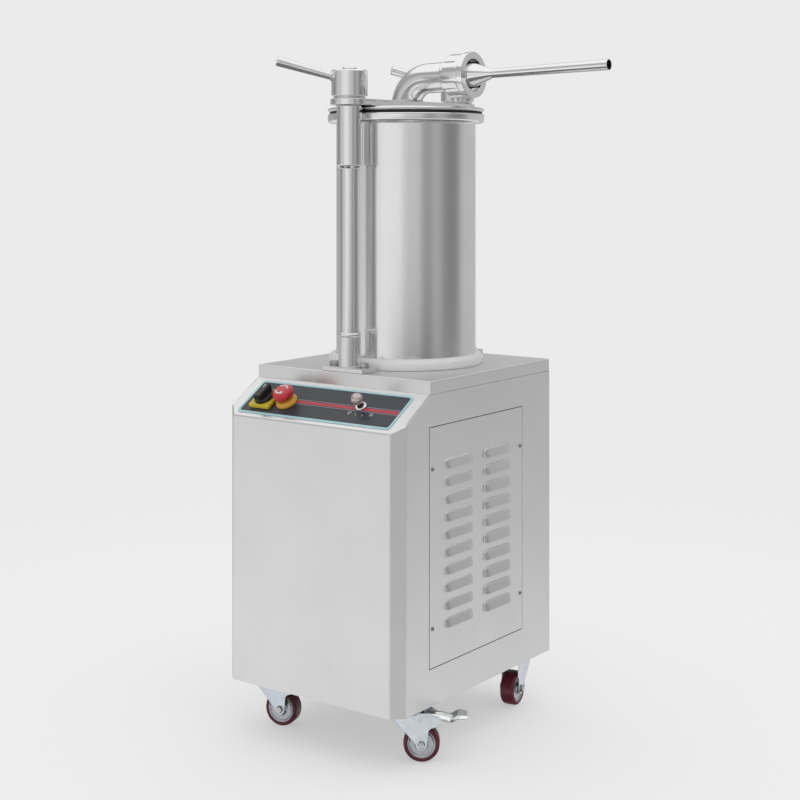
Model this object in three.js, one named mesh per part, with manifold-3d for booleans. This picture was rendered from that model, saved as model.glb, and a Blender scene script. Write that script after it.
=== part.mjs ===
// Vertical hydraulic sausage stuffer on casters, in millimetres, +Z up.
// The machine is laid out from the point on the floor below the drum's axis: +X to the right along the
// front, +Y to the back. The finished group then moves so that the origin is the bottom centre of its box.
import * as THREE from "three";
import { mergeVertices } from "three/addons/utils/BufferGeometryUtils.js";
import Module from "manifold-3d";

const wasm = await Module();
wasm.setup();

// ---------------------------------------------------------------- driving dimensions
const GAP = 0.3; // running gap between two pieces that touch on the real machine
const SMOOTH = 32; // facets round a large turned piece
const ROUND = 16; // facets round a small turned piece

const DECK = 400; // side of the square deck
const DECK_TOP = 665; // height of the deck above the floor
const DECK_SKIRT = 23; // depth of the deck's folded edge
const SHEET = 2; // thickness of the cabinet's sheet metal
const CABINET_BOTTOM = 97.5;
const CONSOLE_FRONT = -293.5; // front face of the cabinet
const CONSOLE_EDGE = 584.5; // height where the front face meets the sloping console
const CORNER_CUT = 20.6; // 45 degree cut of the two front corners

const DRUM_BORE_R = 130;
const DRUM_WALL = 3.5;
const DRUM_TOP = 1142;
const DRUM_FLOOR = 676; // inner face of the drum's floor
const RIM_R = 150;
const RIM_DEPTH = 20.5;

const POST_Y = 175; // the posts stand in front of the drum and behind it
const POST_R = 18;
const COLLAR_R = 23.5;
const STUD_R = 13.5;
const STUD_TOP = 1222;
const POST_PLATE = 8;
const SLEEVE_TOP = 736;

const LID_PLATE = 8.6;
const YOKE_PLATE = 12;
const YOKE_WIDTH = 70;
const NUT_R = 33.3;
const NUT_HEIGHT = 50;
const HANDLE_REACH = 135; // from a nut's axis to the tip of its handle
const HANDLE_HEADING = 222; // degrees, seen from above
const HANDLE_RISE = 15.5; // degrees above level

const PIPE_R = 28.5;
const PIPE_WALL = 3;
const BEND_R = 57;
const SPOUT_RISE = 1.75; // degrees that the spout points up
const NOZZLE_TIP = 386.5; // along the spout, from the end of the bend

const ROD_R = 25;
const ROD_TOP = 705;
const RAM_BORE_R = 45;

const WHEEL_R = 32.2;
const WHEEL_WIDTH = 28;
const CASTER_TRAIL = 26; // the wheel's axle lies this far from the swivel's axis

const HALF_DECK = DECK / 2;
const SKIRT_BOTTOM = DECK_TOP - DECK_SKIRT;
const CONSOLE_RUN = -HALF_DECK - CONSOLE_FRONT;
const CONSOLE_SLOPE = Math.atan2(SKIRT_BOTTOM - CONSOLE_EDGE, CONSOLE_RUN);
const LID_BOTTOM = DRUM_TOP + 2 * GAP;
const LID_TOP = LID_BOTTOM + LID_PLATE;
const YOKE_BOTTOM = LID_TOP + GAP;
const YOKE_TOP = YOKE_BOTTOM + YOKE_PLATE;

const SWIVELS = {
  front_left: { x: -157, y: -212, heading: 14, brake: true },
  front_right: { x: 157, y: -212, heading: 34, brake: true },
  rear_left: { x: -148, y: 166, heading: 205, brake: false },
  rear_right: { x: 148, y: 166, heading: -80, brake: false },
};

// ---------------------------------------------------------------- materials
const paint = (color, roughness, metalness) =>
  new THREE.MeshStandardMaterial({ color, roughness, metalness });
const BRUSHED_SHEET = paint(0xc9c9c9, 0.38, 0.9);
const POLISHED_STEEL = paint(0xcfcfd0, 0.18, 1.0);
const FRAME_STEEL = paint(0x8d9196, 0.55, 0.6);
const ZINC = paint(0xb9c3cf, 0.35, 0.85);
const CHROME = paint(0xd8dadb, 0.1, 1.0);
const OFF_WHITE_PLASTIC = paint(0xe6e6e4, 0.45, 0.0);
const BLACK_PLASTIC = paint(0x18181a, 0.4, 0.0);
const BLACK_RUBBER = paint(0x1d1d1f, 0.75, 0.0);
const YELLOW_PLASTIC = paint(0xdfc437, 0.4, 0.0);
const RED_PLASTIC = paint(0xcf2c3a, 0.3, 0.0);
const KNOB_RED = paint(0xb9a9ab, 0.2, 0.7);
const LABEL = paint(0x46464f, 0.45, 0.0);
const TREAD = paint(0x5a1f2b, 0.5, 0.0);
const MOTOR_PAINT = paint(0x3d6076, 0.5, 0.2);

// ---------------------------------------------------------------- solids
// A closed geometry as a solid that can be joined and cut, with its faces turned outwards.
function solid(geometry) {
  geometry.deleteAttribute("normal");
  geometry.deleteAttribute("uv");
  const merged = mergeVertices(geometry, 1e-4);
  const vertProperties = merged.attributes.position.array;
  const triVerts = new Uint32Array(merged.index.array);
  const made = new wasm.Manifold(new wasm.Mesh({ numProp: 3, vertProperties, triVerts }));
  if (made.volume() > 0) return made;
  return new wasm.Manifold(new wasm.Mesh({ numProp: 3, vertProperties, triVerts: triVerts.reverse() }));
}

function geometryOf(shape) {
  const { vertProperties, triVerts } = shape.getMesh();
  const flat = new THREE.BufferGeometry();
  flat.setAttribute("position", new THREE.BufferAttribute(vertProperties, 3));
  flat.setIndex(new THREE.BufferAttribute(triVerts, 1));
  flat.computeVertexNormals();
  return flat;
}

function piece(name, shape, material) {
  const mesh = new THREE.Mesh(geometryOf(shape), material);
  mesh.name = name;
  return mesh;
}

const joined = (...shapes) => shapes.reduce((whole, shape) => whole.add(shape));
const without = (shape, ...cuts) => cuts.reduce((left, cut) => left.subtract(cut), shape);

function block([x0, x1], [y0, y1], [z0, z1]) {
  const box = new THREE.BoxGeometry(x1 - x0, y1 - y0, z1 - z0);
  return solid(box.translate((x0 + x1) / 2, (y0 + y1) / 2, (z0 + z1) / 2));
}

const outline = (points) => new THREE.Shape(points.map(([x, y]) => new THREE.Vector2(x, y)));

// Extrudes a shape drawn in X and Y upwards from z0 to z1.
function prism(shape, z0, z1, curveSegments = 3) {
  const flat = new THREE.ExtrudeGeometry(shape, { depth: z1 - z0, bevelEnabled: false, curveSegments });
  return solid(flat.translate(0, 0, z0));
}

// Extrudes a shape drawn in Y and Z along X from x0 to x1.
function prismAlongX(shape, x0, x1, curveSegments = 3) {
  const flat = new THREE.ExtrudeGeometry(shape, { depth: x1 - x0, bevelEnabled: false, curveSegments });
  const toYZ = new THREE.Matrix4().makeBasis(
    new THREE.Vector3(0, 1, 0),
    new THREE.Vector3(0, 0, 1),
    new THREE.Vector3(1, 0, 0),
  );
  return solid(flat.applyMatrix4(toYZ).translate(x0, 0, 0));
}

// Extrudes a shape drawn in X and Z along Y from y0 to y1.
function prismAlongY(shape, y0, y1, curveSegments = 3) {
  const flat = new THREE.ExtrudeGeometry(shape, { depth: y1 - y0, bevelEnabled: false, curveSegments });
  return solid(flat.rotateX(Math.PI / 2).translate(0, y1, 0));
}

// Turns a profile of [radius, height] points about Z. The profile starts and ends on the axis.
function turned(profile, facets = ROUND) {
  const points = profile.map(([r, z]) => new THREE.Vector2(r, z));
  return solid(new THREE.LatheGeometry(points, facets).rotateX(Math.PI / 2));
}

// Turns a profile that closes on itself, such as a ring's section.
const ring = (profile, facets = ROUND) => turned([...profile, profile[0]], facets);

const tube = (innerR, outerR, z0, z1, facets = ROUND) =>
  ring([[innerR, z0], [outerR, z0], [outerR, z1], [innerR, z1]], facets);

function rod(radius, z0, z1, x = 0, y = 0, facets = ROUND) {
  const cylinder = new THREE.CylinderGeometry(radius, radius, z1 - z0, facets);
  return solid(cylinder.rotateX(Math.PI / 2).translate(x, y, (z0 + z1) / 2));
}

function roundedRectangle(x0, x1, y0, y1, r) {
  const shape = new THREE.Shape();
  shape.moveTo(x0 + r, y0);
  shape.lineTo(x1 - r, y0);
  shape.absarc(x1 - r, y0 + r, r, -Math.PI / 2, 0);
  shape.lineTo(x1, y1 - r);
  shape.absarc(x1 - r, y1 - r, r, 0, Math.PI / 2);
  shape.lineTo(x0 + r, y1);
  shape.absarc(x0 + r, y1 - r, r, Math.PI / 2, Math.PI);
  shape.lineTo(x0, y0 + r);
  shape.absarc(x0 + r, y0 + r, r, Math.PI, 1.5 * Math.PI);
  return shape;
}

// ---------------------------------------------------------------- cabinet
const BACK = HALF_DECK;
const DECK_SHEET = 3;
const NECK_HOLE_R = 61;
const FRAME_INSET = SHEET + GAP;
const UPRIGHT = 30;
const FLOOR_PLATE = 6;
const TOP_PLATE = 11.5;
const FRAME_TOP = DECK_TOP - DECK_SHEET - GAP;
const UPRIGHTS_AT = [-1, 1].flatMap((sx) => [-1, 1].map((sy) => [sx * 178, sy * 178]));
const PANEL_Y = [-203.5, 99.5]; // the louvred panels
const PANEL_Z = [164, 584];
const PANEL_GAP = 0.8;
const GLAND_AT = { x: -120, z: 150 };

// The front end of the cabinet in plan, with its two cut corners, inset by a margin.
function frontOutline(inset, backY) {
  const cut = CORNER_CUT - inset * (2 - Math.SQRT2);
  const side = HALF_DECK - inset;
  const front = CONSOLE_FRONT + inset;
  return outline([
    [-side, backY], [-side, front + cut], [-side + cut, front],
    [side - cut, front], [side, front + cut], [side, backY],
  ]);
}

// Everything above the console's sloping face, lowered by a margin.
function aboveConsole(inset) {
  const drop = inset / Math.cos(CONSOLE_SLOPE);
  const rise = Math.tan(CONSOLE_SLOPE);
  const [y0, y1] = [CONSOLE_FRONT - 50, -HALF_DECK + 50];
  const at = (y) => CONSOLE_EDGE - drop + (y - CONSOLE_FRONT) * rise;
  return prismAlongX(outline([[y0, at(y0)], [y1, at(y1)], [y1, 900], [y0, 900]]), -300, 300);
}

const CONSOLE_FITTINGS = {
  switch: { x: -131, v: 45, holeR: 11.8 },
  estop: { x: -82.5, v: 47, holeR: 11.8 },
  lever: { x: 82.4, v: 56.4, holeR: 8.3 },
};

// A group whose X and Y lie in the console's face, with its origin at the middle of the lower edge.
function consoleGroup() {
  const group = new THREE.Group();
  group.position.set(0, CONSOLE_FRONT, CONSOLE_EDGE);
  group.rotation.x = CONSOLE_SLOPE;
  group.updateMatrix();
  return group;
}

function fittingHoles(z0, z1) {
  return Object.values(CONSOLE_FITTINGS).map(({ x, v, holeR }) => rod(holeR, z0, z1, x, v, 12));
}

function frontCover() {
  const back = -HALF_DECK - GAP;
  const outer = without(prism(frontOutline(0, back), CABINET_BOTTOM, SKIRT_BOTTOM), aboveConsole(0));
  const core = prism(frontOutline(SHEET, back + 9), CABINET_BOTTOM - 9, SKIRT_BOTTOM);
  const inner = without(core, aboveConsole(SHEET));
  const sideY = [CONSOLE_FRONT + CORNER_CUT, back + 9];
  const sides = [-1, 1].map((s) => {
    const x = [s * (HALF_DECK - SHEET - GAP), s * (HALF_DECK + 9)].sort((a, b) => a - b);
    return block(x, sideY, [CABINET_BOTTOM - 9, SKIRT_BOTTOM + 9]);
  });
  const shell = without(outer, inner, ...sides);
  const toMachine = consoleGroup().matrix;
  const holes = fittingHoles(-20, 20).map((hole) => solid(geometryOf(hole).applyMatrix4(toMachine)));
  return piece("front_cover", without(shell, ...holes), BRUSHED_SHEET);
}

function sidePanel(name, side) {
  const front = CONSOLE_FRONT + CORNER_CUT + GAP;
  const top = SKIRT_BOTTOM - GAP;
  const shape = outline([[front, CABINET_BOTTOM], [BACK, CABINET_BOTTOM], [BACK, top], [front, top]]);
  const x = side > 0 ? [HALF_DECK - SHEET, HALF_DECK] : [-HALF_DECK, -HALF_DECK + SHEET];
  const sheet = without(prismAlongX(shape, ...x), aboveConsole(0));
  const window = block(
    [x[0] - 1, x[1] + 1],
    [PANEL_Y[0] - PANEL_GAP, PANEL_Y[1] + PANEL_GAP],
    [PANEL_Z[0] - PANEL_GAP, PANEL_Z[1] + PANEL_GAP],
  );
  return piece(name, sheet.subtract(window), BRUSHED_SHEET);
}

function backPanel() {
  const x = HALF_DECK - SHEET - GAP;
  const sheet = block([-x, x], [BACK - SHEET, BACK], [CABINET_BOTTOM, SKIRT_BOTTOM - GAP]);
  const bore = new THREE.CylinderGeometry(10.3, 10.3, 9, ROUND);
  const hole = solid(bore.translate(GLAND_AT.x, BACK, GLAND_AT.z));
  return piece("back_panel", sheet.subtract(hole), BRUSHED_SHEET);
}

// The holes through the deck and the frame's top plate: for the hydraulic cylinder's neck and the two posts.
function deckHoles() {
  const [low, high] = [DECK_TOP - 50, DECK_TOP + 50];
  const posts = [-POST_Y, POST_Y].map((y) => rod(POST_R + GAP, low, high, 0, y));
  return [rod(NECK_HOLE_R, low, high), ...posts];
}

function deckCover() {
  const inner = HALF_DECK - SHEET;
  const cap = block([-HALF_DECK, HALF_DECK], [-HALF_DECK, HALF_DECK], [SKIRT_BOTTOM, DECK_TOP]);
  const hollow = block([-inner, inner], [-inner, inner], [SKIRT_BOTTOM - 1, DECK_TOP - DECK_SHEET]);
  return piece("deck_cover", without(cap, hollow, ...deckHoles()), BRUSHED_SHEET);
}

function weldedFrame() {
  const inner = HALF_DECK - FRAME_INSET;
  const plateTop = CABINET_BOTTOM + FLOOR_PLATE;
  const floor = prism(frontOutline(FRAME_INSET, inner), CABINET_BOTTOM, plateTop);
  const topBottom = FRAME_TOP - TOP_PLATE;
  const half = UPRIGHT / 2;
  const top = block([-inner, inner], [-inner, inner], [topBottom, FRAME_TOP]);
  const uprights = UPRIGHTS_AT.map(([x, y]) =>
    block([x - half, x + half], [y - half, y + half], [plateTop - 1, topBottom + 1]));
  return piece("welded_frame", without(joined(floor, top, ...uprights), ...deckHoles()), FRAME_STEEL);
}

const LOUVRE = { rows: 10, pitch: 31.2, top: 523.2, height: 16.6, length: 88, depth: 7 };
const LOUVRE_COLUMNS = [-114, 11.5];

// One pressed louvre, a hood that stands out further towards its lower edge.
function louvre(y, top) {
  const hood = outline([[-1, 0], [0, 0], [LOUVRE.depth, -LOUVRE.height], [-1, -LOUVRE.height]]);
  const raw = new THREE.ExtrudeGeometry(hood, { depth: LOUVRE.length, bevelEnabled: false });
  return solid(raw.rotateX(Math.PI / 2).translate(HALF_DECK, y + LOUVRE.length / 2, top));
}

function louvrePanel(name, side) {
  const sheet = block([HALF_DECK - SHEET, HALF_DECK], PANEL_Y, PANEL_Z);
  const rows = Array.from({ length: LOUVRE.rows }, (_, i) => LOUVRE.top - i * LOUVRE.pitch);
  const louvres = LOUVRE_COLUMNS.flatMap((y) => rows.map((z) => louvre(y, z)));
  const mesh = piece(name, joined(sheet, ...louvres), BRUSHED_SHEET);
  mesh.scale.x = side;
  return mesh;
}

function cableGland() {
  const shape = ring([[5, -14], [9.8, -14], [9.8, 0.4], [14, 0.4], [14, 8], [11, 16], [5, 16]]);
  const mesh = piece("cable_gland", shape, BLACK_PLASTIC);
  mesh.rotation.x = -Math.PI / 2;
  mesh.position.set(GLAND_AT.x, BACK, GLAND_AT.z);
  return mesh;
}

function cabinet() {
  return [
    weldedFrame(), frontCover(), backPanel(), deckCover(), cableGland(),
    sidePanel("side_panel_left", -1), sidePanel("side_panel_right", 1),
    louvrePanel("louvre_panel_left", -1), louvrePanel("louvre_panel_right", 1),
  ];
}

// ---------------------------------------------------------------- drive inside the cabinet
const FLOOR_LEVEL = CABINET_BOTTOM + FLOOR_PLATE + GAP;
const MOTOR = { x: -30, y: -150, z: 190, r: 70, length: 210 };

function hydraulicCylinder() {
  const flangeTop = FRAME_TOP - TOP_PLATE - GAP;
  const neckTop = DECK_TOP + 2;
  const shape = turned([
    [0, FLOOR_LEVEL], [55, FLOOR_LEVEL], [55, flangeTop - 14], [75, flangeTop - 14], [75, flangeTop],
    [58, flangeTop],
    [58, neckTop], [ROD_R + GAP, neckTop], [ROD_R + GAP, 625], [RAM_BORE_R + GAP, 625],
    [RAM_BORE_R + GAP, 118],
    [0, 118],
  ]);
  return piece("hydraulic_cylinder", shape, FRAME_STEEL);
}

function pistonRod() {
  const shape = turned([
    [0, 120], [RAM_BORE_R, 120], [RAM_BORE_R, 146], [ROD_R, 146], [ROD_R, ROD_TOP], [0, ROD_TOP],
  ]);
  return piece("piston_rod", shape, CHROME);
}

function motor() {
  const { x, y, z, r, length } = MOTOR;
  const body = new THREE.CylinderGeometry(r, r, length, 20).rotateZ(Math.PI / 2).translate(x, y, z);
  const foot = block([x - 70, x + 70], [y - 60, y + 60], [FLOOR_LEVEL, z - r + 12]);
  const box = block([x - 40, x + 30], [y - 35, y + 35], [z + r - 8, z + r + 35]);
  return piece("motor", joined(solid(body), foot, box), MOTOR_PAINT);
}

function gearPump() {
  const face = MOTOR.x + MOTOR.length / 2 + GAP;
  const body = block([face, face + 62], [MOTOR.y - 32, MOTOR.y + 32], [MOTOR.z - 38, MOTOR.z + 38]);
  const port = rod(12, MOTOR.z + 37, MOTOR.z + 55, face + 35, MOTOR.y);
  return piece("gear_pump", joined(body, port), FRAME_STEEL);
}

function oilTank() {
  const wall = 3;
  const [x, y, top] = [150, [88, 160], 430];
  const body = block([-x, x], y, [FLOOR_LEVEL, top]);
  const inside = block([wall - x, x - wall], [y[0] + wall, y[1] - wall], [FLOOR_LEVEL + wall, top - wall]);
  const filler = rod(22, top - 1, top + 18, -100, 124);
  const mouth = rod(18, top - 9, top + 30, -100, 124);
  return piece("oil_tank", without(joined(body, filler), inside, mouth), MOTOR_PAINT);
}

function drive() {
  return [hydraulicCylinder(), pistonRod(), motor(), gearPump(), oilTank()];
}

// ---------------------------------------------------------------- drum and piston
function drum() {
  const outer = DRUM_BORE_R + DRUM_WALL;
  const foot = DECK_TOP + GAP;
  const underFloor = DECK_TOP + 3;
  const groove = { inner: 138.5, outer: 143.5, depth: 3.5 };
  const edge = 4;
  const shape = ring([
    [outer, foot], [outer, DRUM_TOP - RIM_DEPTH], [RIM_R - edge, DRUM_TOP - RIM_DEPTH],
    [RIM_R, DRUM_TOP - RIM_DEPTH + edge], [RIM_R, DRUM_TOP - edge], [RIM_R - edge, DRUM_TOP],
    [groove.outer, DRUM_TOP], [groove.outer, DRUM_TOP - groove.depth],
    [groove.inner, DRUM_TOP - groove.depth], [groove.inner, DRUM_TOP], [DRUM_BORE_R, DRUM_TOP],
    [DRUM_BORE_R, DRUM_FLOOR], [ROD_R + GAP, DRUM_FLOOR], [ROD_R + GAP, underFloor],
    [DRUM_BORE_R, underFloor], [DRUM_BORE_R, foot],
  ], SMOOTH);
  return piece("drum", shape, POLISHED_STEEL);
}

function drumBaseRing() {
  const inner = DRUM_BORE_R + DRUM_WALL + GAP;
  const bottom = DECK_TOP + GAP;
  const shape = ring([
    [inner, bottom], [148, bottom], [149, bottom + 6], [147, bottom + 14], [142, bottom + 19],
    [137, bottom + 20],
    [inner, bottom + 20],
  ], SMOOTH);
  return piece("drum_base_ring", shape, OFF_WHITE_PLASTIC);
}

function lidGasket() {
  const points = Array.from({ length: 4 }, (_, i) => {
    const a = (i * Math.PI) / 2;
    return [141 + 1.75 * Math.cos(a), DRUM_TOP - 1.45 + 1.75 * Math.sin(a)];
  });
  return piece("lid_gasket", ring(points, SMOOTH), BLACK_RUBBER);
}

const PISTON_BOTTOM = DRUM_FLOOR + 2;
const PISTON_TOP = PISTON_BOTTOM + 40;
const SEAL = { bottom: PISTON_BOTTOM + 14, top: PISTON_BOTTOM + 26, depth: 7 };

function piston() {
  const r = DRUM_BORE_R - 0.6;
  const shape = turned([
    [ROD_R + GAP, PISTON_BOTTOM], [r, PISTON_BOTTOM], [r, SEAL.bottom], [r - SEAL.depth, SEAL.bottom],
    [r - SEAL.depth, SEAL.top], [r, SEAL.top], [r, PISTON_TOP], [0, PISTON_TOP],
    [0, ROD_TOP + GAP], [ROD_R + GAP, ROD_TOP + GAP], [ROD_R + GAP, PISTON_BOTTOM],
  ], SMOOTH);
  return piece("piston", shape, POLISHED_STEEL);
}

function pistonSeal() {
  const r = DRUM_BORE_R - 0.6;
  const shape = tube(r - SEAL.depth + GAP, DRUM_BORE_R - 0.35, SEAL.bottom + GAP, SEAL.top - GAP, SMOOTH);
  return piece("piston_seal", shape, OFF_WHITE_PLASTIC);
}

function drumGroup() {
  return [drum(), drumBaseRing(), lidGasket(), piston(), pistonSeal()];
}

// ---------------------------------------------------------------- posts and clamp
function post(name, y) {
  const foot = FRAME_TOP - TOP_PLATE + 1;
  const collarTop = YOKE_BOTTOM - GAP;
  const shape = turned([
    [0, foot], [POST_R, foot], [POST_R, 1039], [COLLAR_R, 1039], [COLLAR_R, collarTop], [STUD_R, collarTop],
    [STUD_R, STUD_TOP - 2], [STUD_R - 2, STUD_TOP], [0, STUD_TOP],
  ]);
  const mesh = piece(name, shape, POLISHED_STEEL);
  mesh.position.y = y;
  return mesh;
}

function postBase(name, y) {
  const bottom = DECK_TOP + GAP;
  const top = bottom + POST_PLATE;
  const plate = block([-47, 47], [-23, 23], [bottom, top]);
  const sleeve = turned([
    [0, top - 1], [20, top - 1], [20, SLEEVE_TOP - 2], [18.8, SLEEVE_TOP], [0, SLEEVE_TOP],
  ]);
  const mesh = piece(name, without(joined(plate, sleeve), rod(POST_R + GAP, 600, 800)), POLISHED_STEEL);
  mesh.position.y = y;
  return mesh;
}

const WASHER_BOTTOM = YOKE_TOP + GAP;
const NUT_BOTTOM = WASHER_BOTTOM + 2.7;

function washer(name, y) {
  const mesh = piece(name, tube(STUD_R + GAP, 30, WASHER_BOTTOM, NUT_BOTTOM - GAP), FRAME_STEEL);
  mesh.position.y = y;
  return mesh;
}

// The handle's axis, from the nut's axis outwards: a group whose Z runs along it.
function handleGroup() {
  const group = new THREE.Group();
  group.position.z = NUT_BOTTOM + 28.8;
  group.rotation.order = "ZYX";
  group.rotation.z = THREE.MathUtils.degToRad(HANDLE_HEADING);
  group.rotation.y = THREE.MathUtils.degToRad(90 - HANDLE_RISE);
  group.updateMatrix();
  return group;
}

function clampNut(name, y) {
  const top = NUT_BOTTOM + NUT_HEIGHT;
  const body = turned([
    [0, NUT_BOTTOM], [NUT_R - 4, NUT_BOTTOM], [NUT_R, NUT_BOTTOM + 4], [NUT_R, top - 5],
    [NUT_R - 1.5, top - 1.5],
    [NUT_R - 5, top], [0, top],
  ], 20);
  const socket = solid(geometryOf(rod(7.3, 22, 40)).applyMatrix4(handleGroup().matrix));
  const mesh = piece(name, without(body, rod(STUD_R + GAP, 1100, 1300), socket), POLISHED_STEEL);
  mesh.position.y = y;
  return mesh;
}

function clampHandle(name, y) {
  const tip = HANDLE_REACH / Math.cos(THREE.MathUtils.degToRad(HANDLE_RISE)) - 2;
  const shape = turned([[0, 22.5], [7, 22.5], [7, 34], [9.4, tip - 2], [8, tip], [0, tip]]);
  const group = handleGroup();
  group.position.y = y;
  return group.add(piece(name, shape, POLISHED_STEEL));
}

function postsAndClamps() {
  return Object.entries({ front: -POST_Y, rear: POST_Y }).flatMap(([end, y]) => [
    postBase(`${end}_post_base`, y), post(`${end}_post`, y), washer(`${end}_washer`, y),
    clampNut(`${end}_nut`, y), clampHandle(`${end}_handle`, y),
  ]);
}

// ---------------------------------------------------------------- lid, elbow and spout
const PIPE_HOLE_R = PIPE_R + GAP;
const BEND_START = 1149.9; // height where the pipe starts to bend
const BEND_ANGLE = THREE.MathUtils.degToRad(90 - SPOUT_RISE);

function lid() {
  const edge = 2.5;
  const shape = ring([
    [PIPE_HOLE_R, LID_BOTTOM], [RIM_R - 4.5, LID_BOTTOM], [RIM_R, LID_BOTTOM + 3.4], [RIM_R, LID_TOP - edge],
    [RIM_R - edge, LID_TOP], [PIPE_HOLE_R, LID_TOP],
  ], SMOOTH);
  return piece("lid", shape, POLISHED_STEEL);
}

function yokeBar() {
  const r = YOKE_WIDTH / 2;
  const shape = new THREE.Shape();
  shape.moveTo(r, POST_Y);
  shape.absarc(0, POST_Y, r, 0, Math.PI);
  shape.lineTo(-r, -POST_Y);
  shape.absarc(0, -POST_Y, r, Math.PI, 2 * Math.PI);
  const bar = prism(shape, YOKE_BOTTOM, YOKE_TOP, 6);
  const hole = STUD_R + GAP;
  const [low, high] = [YOKE_BOTTOM - 9, YOKE_TOP + 9];
  const rearHole = rod(hole, low, high, 0, POST_Y);
  const pipeHole = rod(PIPE_HOLE_R + 2.8, low, high, 1.4); // the pipe already leans to the right here
  const slotEnd = rod(hole, low, high, 0, -POST_Y);
  const slot = block([-60, 0], [-POST_Y - hole, -POST_Y + hole], [low, high]); // open to the left
  return piece("yoke_bar", without(bar, rearHole, pipeHole, slotEnd, slot), POLISHED_STEEL);
}

const BEND_END = { x: BEND_R * (1 - Math.cos(BEND_ANGLE)), z: BEND_START + BEND_R * Math.sin(BEND_ANGLE) };
const SPOUT_DIRECTION = new THREE.Vector3(Math.sin(BEND_ANGLE), 0, Math.cos(BEND_ANGLE));
const BEND_STEPS = 8;

// The pipe's centreline: one step up from its foot, the steps of the bend, then one along the spout.
class PipeLine extends THREE.Curve {
  constructor(foot, reach) {
    super();
    Object.assign(this, { foot, reach });
  }
  getUtoTmapping(u) {
    return u;
  }
  getPoint(t, target = new THREE.Vector3()) {
    const step = t * (BEND_STEPS + 2) - 1;
    if (step <= 0) return target.set(0, 0, BEND_START + step * (BEND_START - this.foot));
    if (step > BEND_STEPS) {
      const along = (step - BEND_STEPS) * this.reach;
      return target.set(BEND_END.x, 0, BEND_END.z).addScaledVector(SPOUT_DIRECTION, along);
    }
    const a = (step / BEND_STEPS) * BEND_ANGLE;
    return target.set(BEND_R * (1 - Math.cos(a)), 0, BEND_START + BEND_R * Math.sin(a));
  }
}

function pipe(foot, reach) {
  const section = new THREE.Shape().absarc(0, 0, PIPE_R, 0, 2 * Math.PI);
  section.holes.push(new THREE.Path().absarc(0, 0, PIPE_R - PIPE_WALL, 0, 2 * Math.PI));
  const extrudePath = new PipeLine(foot, reach);
  const steps = BEND_STEPS + 2;
  const options = { steps, curveSegments: ROUND / 2, extrudePath, bevelEnabled: false };
  return solid(new THREE.ExtrudeGeometry(section, options));
}

// A group whose Z runs along the spout, from the end of the bend.
function spoutGroup() {
  const group = new THREE.Group();
  group.position.set(BEND_END.x, 0, BEND_END.z);
  group.rotation.y = BEND_ANGLE;
  group.updateMatrix();
  return group;
}

const THREAD_R = 35.5;
const NECK = { ferrule: [42, 51], thread: [56, 74] };
const NOZZLE_FLANGE = [NECK.thread[1] + GAP, 82];
const NUT_SPAN = [55, 102];

function elbow() {
  const [ferrule0, ferrule1] = NECK.ferrule;
  const [thread0, thread1] = NECK.thread;
  const grip = PIPE_R - 1;
  const collars = [
    ring([[grip, ferrule0], [30, ferrule0], [32, ferrule0 + 2], [32, ferrule1], [grip, ferrule1]]),
    tube(grip, THREAD_R, thread0, thread1),
  ];
  const onSpout = collars.map((collar) => solid(geometryOf(collar).applyMatrix4(spoutGroup().matrix)));
  return piece("elbow", joined(pipe(LID_BOTTOM + GAP, thread1), ...onSpout), POLISHED_STEEL);
}

function couplingNut() {
  const [rear, front] = NUT_SPAN;
  const grip = 43.5;
  const lipStart = NOZZLE_FLANGE[1] + 2;
  const body = ring([
    [36.6, rear], [grip - 3, rear], [grip - 1.5, rear + 2], [grip - 1.5, front - 16], [grip, front - 14],
    [grip, front - 2], [grip - 2, front], [30.25, front], [30.25, lipStart], [36.6, lipStart],
  ], 24);
  const slots = Array.from({ length: 6 }, (_, i) => {
    const slot = new THREE.BoxGeometry(10, 13, 28).translate(grip, 0, rear + 13);
    return solid(slot.rotateZ((i * Math.PI) / 3));
  });
  return piece("coupling_nut", without(body, ...slots), POLISHED_STEEL);
}

function nozzle() {
  const [flange0, flange1] = NOZZLE_FLANGE;
  const wall = 1.2;
  const neck = 144; // where the cone meets the tube
  const outer = [[35.8, flange0], [35.8, flange1], [26, flange1], [26, 96], [8.4, neck], [10, NOZZLE_TIP]];
  const inner = [[10 - wall, NOZZLE_TIP], [8.4 - wall, neck], [26 - 2 * wall, 96], [26 - 2 * wall, flange0]];
  return piece("nozzle", ring([...outer, ...inner]), POLISHED_STEEL);
}

function lidGroup() {
  const spout = spoutGroup().add(couplingNut(), nozzle());
  return [lid(), yokeBar(), elbow(), spout];
}

// ---------------------------------------------------------------- console
const LABEL_PLATE = 1.2;

function at(fitting, mesh) {
  mesh.position.set(fitting.x, fitting.v, 0);
  return mesh;
}

function labelPlate() {
  const plate = prism(roundedRectangle(-177, 173, 8, 99.5, 9), GAP, GAP + LABEL_PLATE, 3);
  return piece("label_plate", without(plate, ...fittingHoles(-5, 5)), LABEL);
}

function isolatorSwitch() {
  const bottom = GAP + LABEL_PLATE + GAP;
  const plate = prism(roundedRectangle(-24, 24, -24, 24, 4), bottom, bottom + 7, 2);
  const shank = rod(11, -32, bottom + 1);
  const base = without(joined(plate, shank), rod(5.3, -60, 60));
  const grip = prism(roundedRectangle(-6.5, 6.5, -19, 19, 3), bottom + 14, bottom + 26, 2);
  const foot = bottom + 7 + GAP;
  const dial = turned([[0, foot], [18, foot], [16.5, bottom + 15], [0, bottom + 15]], 8);
  const stem = rod(5, -28, bottom + 8);
  return [
    at(CONSOLE_FITTINGS.switch, piece("switch_base", base, YELLOW_PLASTIC)),
    at(CONSOLE_FITTINGS.switch, piece("switch_knob", joined(dial, grip, stem), BLACK_PLASTIC)),
  ];
}

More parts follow.
